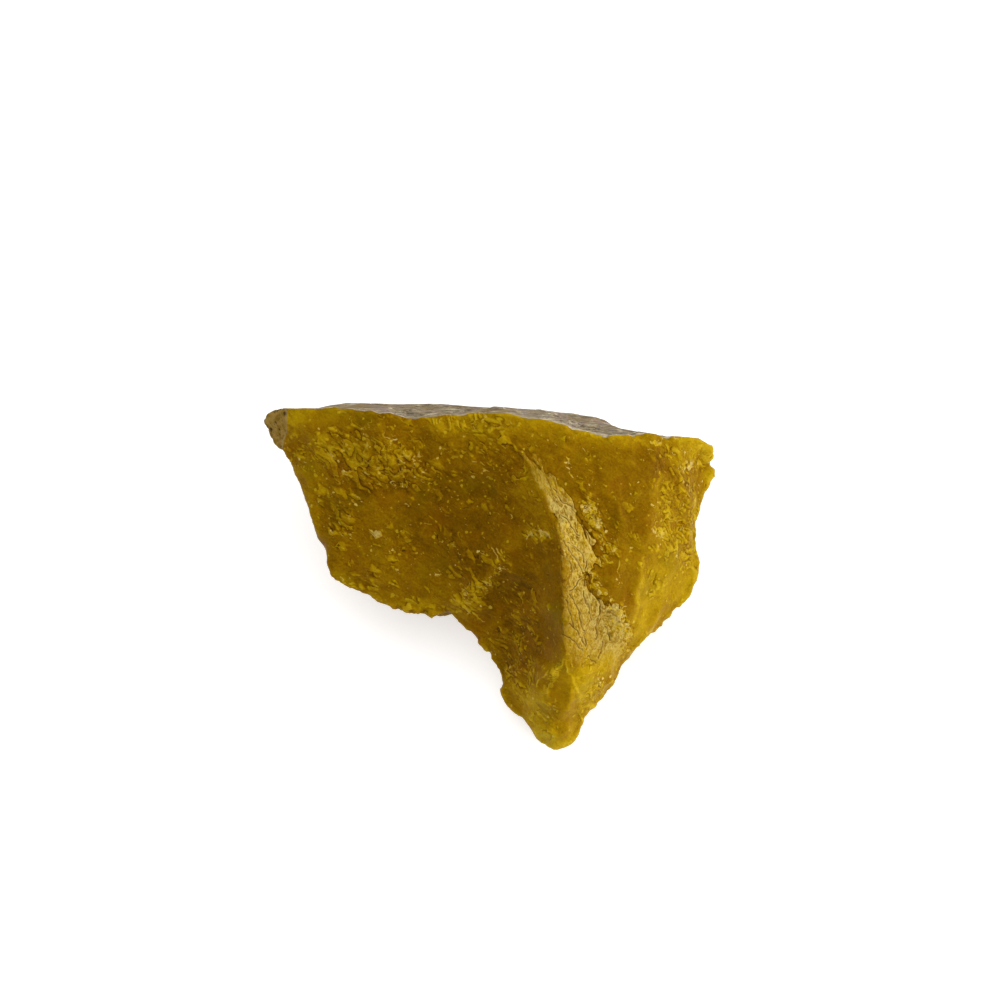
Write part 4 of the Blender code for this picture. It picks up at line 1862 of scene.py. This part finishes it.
    def _rind_depth(self, where: Floats, facing: Floats) -> Floats:
        """How far each point lies inside the rind, which is ragged on its left and curls over on its right.

        Args:
            where: the points, in the face's frame.
            facing: which way the surface faces there.

        Returns:
            One value a point. It is negative outside.
        """
        borders = self.borders
        left, right = self.places.rind_ends
        curl = eased(where[:, 0] - right, *borders.curl_from) * eased(facing[:, 2], *borders.curl_facing)
        steep = borders.rind_facing + borders.rind_curl * curl
        fray = borders.rind_fray * self._fray(where, borders.rind_fray_size)
        end = where[:, 0] - left + borders.rind_lead + fray
        return np.minimum((facing[:, 1] - steep) * borders.rind_spread, end)

    def _fingers(self, where: Floats) -> Floats:
        """The ragged fingers that the creamy break's edge is torn into, from about -1 to 1."""
        size = self.relief
        return self._fray(stretched(where, size.finger_turn_deg, size.finger_length), size.finger_size)

    def _creamy_depth(self, where: Floats) -> Floats:
        """How far each point lies inside the creamy break. Its edge is torn on the right and higher up.

        Args:
            where: the points, in the face's frame.

        Returns:
            One depth a point, in millimetres. It is negative outside.
        """
        places, borders = self.places, self.borders
        on_right = eased(places.ridge.right_of(where), *borders.torn_right_of)
        up = eased(where[:, 1], *borders.torn_from)
        beyond = borders.straight_edge + (1 - borders.straight_edge) * np.maximum(
            on_right, borders.torn_strip * up
        )
        return places.sheen.depth(where) + self.relief.edge_fray * self._fingers(where) * beyond

    def _creamy_share(self, where: Floats) -> Floats:
        """How strongly the break right of the ridge is creamy, which is partly painted sheen.

        Args:
            where: the points, in the face's frame.

        Returns:
            One share a point, from 0 to 1.
        """
        borders, size = self.borders, self.relief
        soft = np.interp(where[:, 1], borders.soft_at, borders.soft)
        share = np.interp(where[:, 1], borders.creamy_at, borders.creamy)
        strip = eased(where[:, 1], *borders.strip_from)
        torn = where + size.tear_reach * (self._bent_lines(where) - where) * strip[:, None]
        inside = self.places.ridge.right_of(torn) + size.tear_fingers * self._fingers(where) * strip
        return share * eased(inside / soft, *borders.soft_ends)

    def _shading(self, where: Floats, front: Bools) -> dict[Field, Floats]:
        """How light, milky and pale the stone is painted at each point, partly as painted light, shade and
        sheen, and where the painted highlights along its facets' edges run.

        Args:
            where: the points, in the face's frame.
            front: whether the surface faces the front there.

        Returns:
            One value a point for each of them.
        """
        places, borders = self.places, self.borders
        bent = self._bent_lines(where)
        edge_highlights = [line.away(bent) for line in places.edge_highlights]
        # The darker stretch is partly painted shade, and it goes into SHADE with the patches of painted light
        # and shade.
        dim = borders.dim * eased(places.dim.depth(where), *borders.dim_edge)
        return {
            Field.EDGE_HIGHLIGHT: eased(np.minimum.reduce(edge_highlights), *borders.edge_highlight_width) * front,
            Field.MILK: np.maximum.reduce([patch.share(where) for patch in places.milky]),
            Field.SHADE: sum((patch.share(where) for patch in places.shades), dim) * front,
            Field.PALE: np.maximum.reduce([patch.share(where) for patch in places.pale]) * front,
        }

    def _flakes(self, where: Floats, front: Bools) -> dict[Field, Floats]:
        """How crowded the flakes are at each point, where they show, and how far up its step each lies.

        Args:
            where: the points, in the face's frame.
            front: whether the surface faces the front there.

        Returns:
            One value a point for each of them.
        """
        places, size, borders = self.places, self.relief, self.borders
        sides = np.where(where[:, 0] < borders.ridge_x, borders.dense_left, borders.dense_right)
        dense = sides * (1 + waves(where, borders.dense_size, self.seeds.dense))
        dense = np.maximum.reduce([dense] + [patch.share(where) * front for patch in places.crowded])
        for patch in places.calm:
            dense *= 1 - patch.share(where) * front
        lying = self._bent(stretched(where, size.flake_turn_deg, size.shown_length), size.shown_bend)
        swirled = self._bent(self._bent(where, size.flake_bend), size.flake_swirl)
        along = stretched(swirled, size.flake_turn_deg, size.flake_length)
        level = waves(along, size.flake_size, self.seeds.flakes)
        level += size.flake_fray * self._fray(along, size.flake_fray_size)
        return {
            Field.DENSE: np.clip(dense, 0.0, 1.0),
            Field.SHOWN: self._fray(lying, size.shown_size) + size.crowding * dense - size.rare,
            Field.STEPS: size.flake_steps * level,
        }

    def _lines(self, where: Floats, front: Bools) -> dict[Field, Floats]:
        """How near each point is to a crack and to a scratch, from 0 to 1 on its middle.

        Args:
            where: the points, in the face's frame.
            front: whether the surface faces the front there.

        Returns:
            One value a point for each of the two.
        """
        size = self.relief
        jagged = self._bent(self._bent_lines(where), size.hackle_jag)
        swell = waves(where, size.hackle_swell_size, self.seeds.line_width)
        width = size.hackle_width * (1 + size.hackle_swell * swell)
        made = {}
        for name, lines in ((Field.CRACK, self.places.hackles), (Field.SCRATCH, self.places.scratches)):
            nearest = np.minimum.reduce([line.away(jagged) for line in lines])
            made[name] = np.exp(-((nearest / width) ** 2)) * front
        return made

    def _bent_lines(self, where: Floats) -> Floats:
        """The points, pushed about so that lines drawn straight come out a little bent."""
        return self._bent(where, self.relief.hackle_bend)

    def _eased_ridge(self, skin: Skin) -> Floats:
        """The points with the lower part of the ridge rounded over.

        Args:
            skin: the surface.

        Returns:
            The points' new places, in millimetres.
        """
        size, where = self.relief, self.plane.places(skin.points)
        facing = self.plane.directions(skin.normals)
        share = np.exp(-((self.places.ridge.right_of(where) / size.ridge_reach) ** 2))
        share *= eased(where[:, 1], *size.ridge_below) * eased(where[:, 1], *size.ridge_above)
        share *= facing[:, 2] > self.borders.side_facing
        rounded = skin.blurred(skin.points, size.ridge_rounds)
        return skin.points + share[:, None] * (rounded - skin.points)

    def _trimmed(self, points: Floats) -> Floats:
        """The points with what stands above the brow pressed down to it.

        Args:
            points: places in millimetres, above the floor.

        Returns:
            The points' new places, in millimetres.
        """
        over = np.maximum(self.places.brow.above(self.plane.places(points)), 0.0)
        up = np.array(self.plane.matrix())[:3, 1]
        return points - (1 - self.relief.brow_give) * over[:, None] * up

    def _fray(self, points: Floats, size: float) -> Floats:
        """A ragged noise with small sharp turns, from about -1 to 1."""
        fine = waves(points, size / self.relief.fray_finer, self.seeds.fine_fray)
        return waves(points, size, self.seeds.fray) + self.relief.fray_share * fine

    def _bent(self, points: Floats, bend: Bend) -> Floats:
        """Points pushed about smoothly, by up to the bend's reach."""
        reach, size = bend
        return points + reach * np.stack([waves(points, size, seed) for seed in self.seeds.bend], axis=1)

    def _roughen(self, skin: Skin, fields: dict[Field, Floats]) -> None:
        """Breaks the surface: dents, flakes, chips, cracks, and the rind's streaks.

        Args:
            skin: the surface, whose points are moved.
            fields: what is stored for it.
        """
        ground = skin.points[:, 2] == 0
        where = self.plane.places(skin.points)
        rind = eased(fields[Field.RIND], *self.borders.rind_edge)
        knob = eased(fields[Field.KNOB], *self.borders.knob_edge)
        heights = self._broken(where, fields, np.maximum(rind, knob))
        heights += self._chipped(where, skin, fields)
        heights += self._swollen(where, skin)
        heights += self._weathered(where, rind, knob)
        heights[ground] = 0.0
        skin.raise_by(heights)
        kept = self._trimmed(skin.points)
        kept[:, 2] = np.where(ground, 0.0, np.maximum(kept[:, 2], self.relief.clearance))
        skin.place(kept)

    def _broken(self, where: Floats, fields: dict[Field, Floats], dull: Floats) -> Floats:
        """The heights of what the stone's breaking left: shell-shaped dents, flakes, cracks and scratches.

        Args:
            where: the points, in the face's frame.
            fields: what is stored for them.
            dull: where the rind and the knob are.

        Returns:
            One height a point, in millimetres.
        """
        size, seeds = self.relief, self.seeds
        creamy = eased(fields[Field.SHEEN], *self.borders.break_edge)
        shell, _ = cells(self._bent(where, size.shell_bend), size.shell_size, seeds.shells)
        dents = size.shell_depth * (shell**2 - size.shell_floor)
        heights = dents * (1 - size.shell_lost_in_break * creamy)
        rise = fields[Field.STEPS] % 1.0
        steps = np.minimum(rise / (1 - size.flake_drop), (1 - rise) / size.flake_drop)
        flaked = eased(fields[Field.SHOWN], *size.flaked_at) * (1 - dull)
        heights += size.flake_depth * steps * flaked * (1 - size.flake_lost_in_break * creamy)
        heights += size.grain_height * waves(where, size.grain_size, seeds.grain)
        above_tip = eased(where[:, 1], *size.edge_from)
        heights += size.edge_height * eased(fields[Field.SHEEN], *size.edge_width) * above_tip
        return heights + size.scratch_height * fields[Field.SCRATCH] - size.hackle_depth * fields[Field.CRACK]

    def _chipped(self, where: Floats, skin: Skin, fields: dict[Field, Floats]) -> Floats:
        """The heights of small scallops, and of the chips that are knocked off where the stone stands out.

        Args:
            where: the points, in the face's frame.
            skin: the surface.
            fields: what is stored for it.

        Returns:
            One height a point, in millimetres.
        """
        size, seeds = self.relief, self.seeds
        crest = eased(skin.crests(size.crest_rounds), *size.crest_at)
        crest *= 1 - size.crest_lost_on_top * eased(where[:, 1], *size.top_from)
        for side in self.places.clean_sides:
            crest *= 1 - size.crest_lost_on_clean * eased(side.away(where), *size.clean_reach)
        chips = eased(waves(where, size.chip_size, seeds.chips), *size.chip_at)
        scallop, _ = cells(self._bent(where, size.scallop_bend), size.scallop_size, seeds.scallops)
        rough = np.maximum(crest, size.scallop_by_flakes * fields[Field.DENSE])
        share = size.scallop_least + (1 - size.scallop_least) * rough
        scallops = size.scallop_depth * (scallop**2 - size.scallop_floor) * share
        return scallops + size.chip_depth * crest * (size.chip_swell - chips)

    def _swollen(self, where: Floats, skin: Skin) -> Floats:
        """The heights of the swells at the rim and at single places.

        Args:
            where: the points, in the face's frame.
            skin: the surface.

        Returns:
            One height a point, in millimetres.
        """
        facing = self.plane.directions(skin.blurred(skin.normals, self.facing_rounds))
        rim = self.relief.rim_swell * eased(np.abs(facing[:, 2]), *self.relief.rim_facing)
        return sum((swell.share(where) for swell in self.places.swells), rim)

    def _weathered(self, where: Floats, rind: Floats, knob: Floats) -> Floats:
        """The heights of the weathered skin: the rind's streaks, and the knob's swell and pits.

        Args:
            where: the points, in the face's frame.
            rind: where the rind is.
            knob: where the knob is.

        Returns:
            One height a point, in millimetres.
        """
        size, seeds = self.relief, self.seeds
        along = where / np.array([size.streak_length, 1.0, 1.0])
        fine = waves(along, size.streak_size / size.streak_finer, seeds.fine_streaks)
        streaks = waves(along, size.streak_size, seeds.streaks) + size.streak_fine_share * fine
        pits, _ = cells(where, size.knob_pit_size, seeds.pits)
        pitted = size.knob_swell - size.knob_pit_depth * eased(pits, *size.knob_pit_width)
        return size.streak_height * streaks * rind + knob * pitted

    def _finish_fields(self, skin: Skin, fields: dict[Field, Floats], solid: bpy.types.Object) -> None:
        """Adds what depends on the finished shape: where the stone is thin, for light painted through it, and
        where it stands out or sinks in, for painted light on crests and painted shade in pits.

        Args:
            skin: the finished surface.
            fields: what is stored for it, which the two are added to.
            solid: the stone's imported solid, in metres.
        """
        size = self.relief
        fields[Field.RELIEF_SHADING] = np.clip(skin.crests(size.relief_shading_rounds) / size.relief_shading_height, -1.0, 1.0)
        tree = BVHTree.FromObject(solid, bpy.context.evaluated_depsgraph_get())
        depths = np.empty(len(skin.points))
        inward = -skin.blurred(skin.normals, self.inward_rounds)
        reach = self.ray_length * MM
        for i, (start, way) in enumerate(zip((skin.points * MM).tolist(), inward.tolist())):
            direction = Vector(way)
            begin = Vector(start) + direction * (self.ray_start * MM)
            _, _, _, depth = tree.ray_cast(begin, direction, reach)
            depths[i] = reach if depth is None else depth
        thin = np.exp(-depths / MM / self.clear_depth)
        fields[Field.THIN] = skin.blurred(thin, self.thin_rounds)

    @staticmethod
    def _crisp_rim(mesh: bpy.types.Mesh) -> None:
        """Shades the stone smooth, apart from the flat underside and its rim.

        Args:
            mesh: the finished mesh.
        """
        work = bmesh.new()
        work.from_mesh(mesh)
        for face in work.faces:
            face.smooth = any(corner.co.z > 0 for corner in face.verts)
        for edge in work.edges:
            edge.smooth = len({face.smooth for face in edge.link_faces}) == 1
        work.to_mesh(mesh)
        work.free()


# --------------------------------------------------------------------------------------------------
# The studio
# --------------------------------------------------------------------------------------------------


@dataclass(frozen=True)
class Softbox:
    """A square soft light: where it stands and how wide it is, in metres, and how strong it is, in watts."""

    name: str
    place: tuple[float, float, float]
    size: float
    watts: float


@dataclass
class Studio:
    """The pale floor, the soft lights and the camera.

    The floor's size is in metres. The gap between it and the stone, and the width of the view, are in
    millimetres, and so is the lens.
    """

    plane: FacePlane = field(default_factory=FacePlane)
    lens: float = 200.0
    view_width: float = 133.33
    floor_size: float = 6.0
    floor_gap: float = 0.02
    floor_grey: float = 0.7
    floor_glow: float = 0.6
    floor_roughness: float = 0.9
    world_strength: float = 0.3
    boxes: tuple[Softbox, ...] = (
        Softbox("key", (0.75, -0.16, 0.3), 0.4, 5.5),
        Softbox("overhead", (-0.2, 0.1, 1.1), 1.4, 9.5),
    )

    def build(self) -> None:
        """Makes the whole studio."""
        self._floor()
        self._world()
        for box in self.boxes:
            self._light(box)
        self._camera()

    def _floor(self) -> None:
        """The pale floor, which isn't part of the stone."""
        bpy.ops.mesh.primitive_plane_add(size=self.floor_size, location=(0, 0, -self.floor_gap * MM))
        floor = bpy.context.object
        floor.name = "floor"
        graph = Graph("pale_floor")
        graph.feed(graph.shader.inputs["Base Color"], (*[self.floor_grey] * 3, 1))
        graph.feed(graph.shader.inputs["Emission Color"], (1, 1, 1, 1))
        graph.feed(graph.shader.inputs["Emission Strength"], self.floor_glow)
        graph.feed(graph.shader.inputs["Roughness"], self.floor_roughness)
        graph.feed(graph.shader.inputs["Specular IOR Level"], 0.0)
        floor.data.materials.append(graph.material)

    def _world(self) -> None:
        """An even white surround."""
        world = bpy.data.worlds.new("surround")
        world.use_nodes = True
        background = world.node_tree.nodes["Background"]
        background.inputs["Color"].default_value = (1, 1, 1, 1)
        background.inputs["Strength"].default_value = self.world_strength
        bpy.context.scene.world = world
        bpy.context.scene.view_settings.view_transform = "Standard"

    def _light(self, box: Softbox) -> None:
        """One square light, turned to the stone.

        Args:
            box: the light's place, size and strength.
        """
        data = bpy.data.lights.new(box.name, "AREA")
        data.size = box.size
        data.energy = box.watts
        light = bpy.data.objects.new(box.name, data)
        light.location = box.place
        light.rotation_euler = (-Vector(box.place)).to_track_quat("-Z", "Y").to_euler()
        light.visible_camera = False
        bpy.context.scene.collection.objects.link(light)

    def _camera(self) -> None:
        """The camera, square on to the broad face."""
        data = bpy.data.cameras.new("camera")
        data.lens = self.lens
        camera = bpy.data.objects.new("camera", data)
        distance = self.view_width * self.lens / data.sensor_width
        spot = self.plane.matrix() @ Matrix.Translation((0, 0, distance))
        camera.matrix_world = Matrix.Translation(spot.translation * MM) @ spot.to_3x3().to_4x4()
        bpy.context.scene.collection.objects.link(camera)
        bpy.context.scene.camera = camera


def main() -> None:
    """Builds the stone and its studio, and reports each."""
    logging.basicConfig(level=logging.INFO, format="%(name)s: %(message)s")
    stone = Stone().build()
    triangles = sum(len(face.vertices) - 2 for face in stone.data.polygons)
    LOG.info("%s has %d triangles", stone.name, triangles)
    Studio().build()
    LOG.info("the studio stands")


if __name__ == "__main__":
    main()
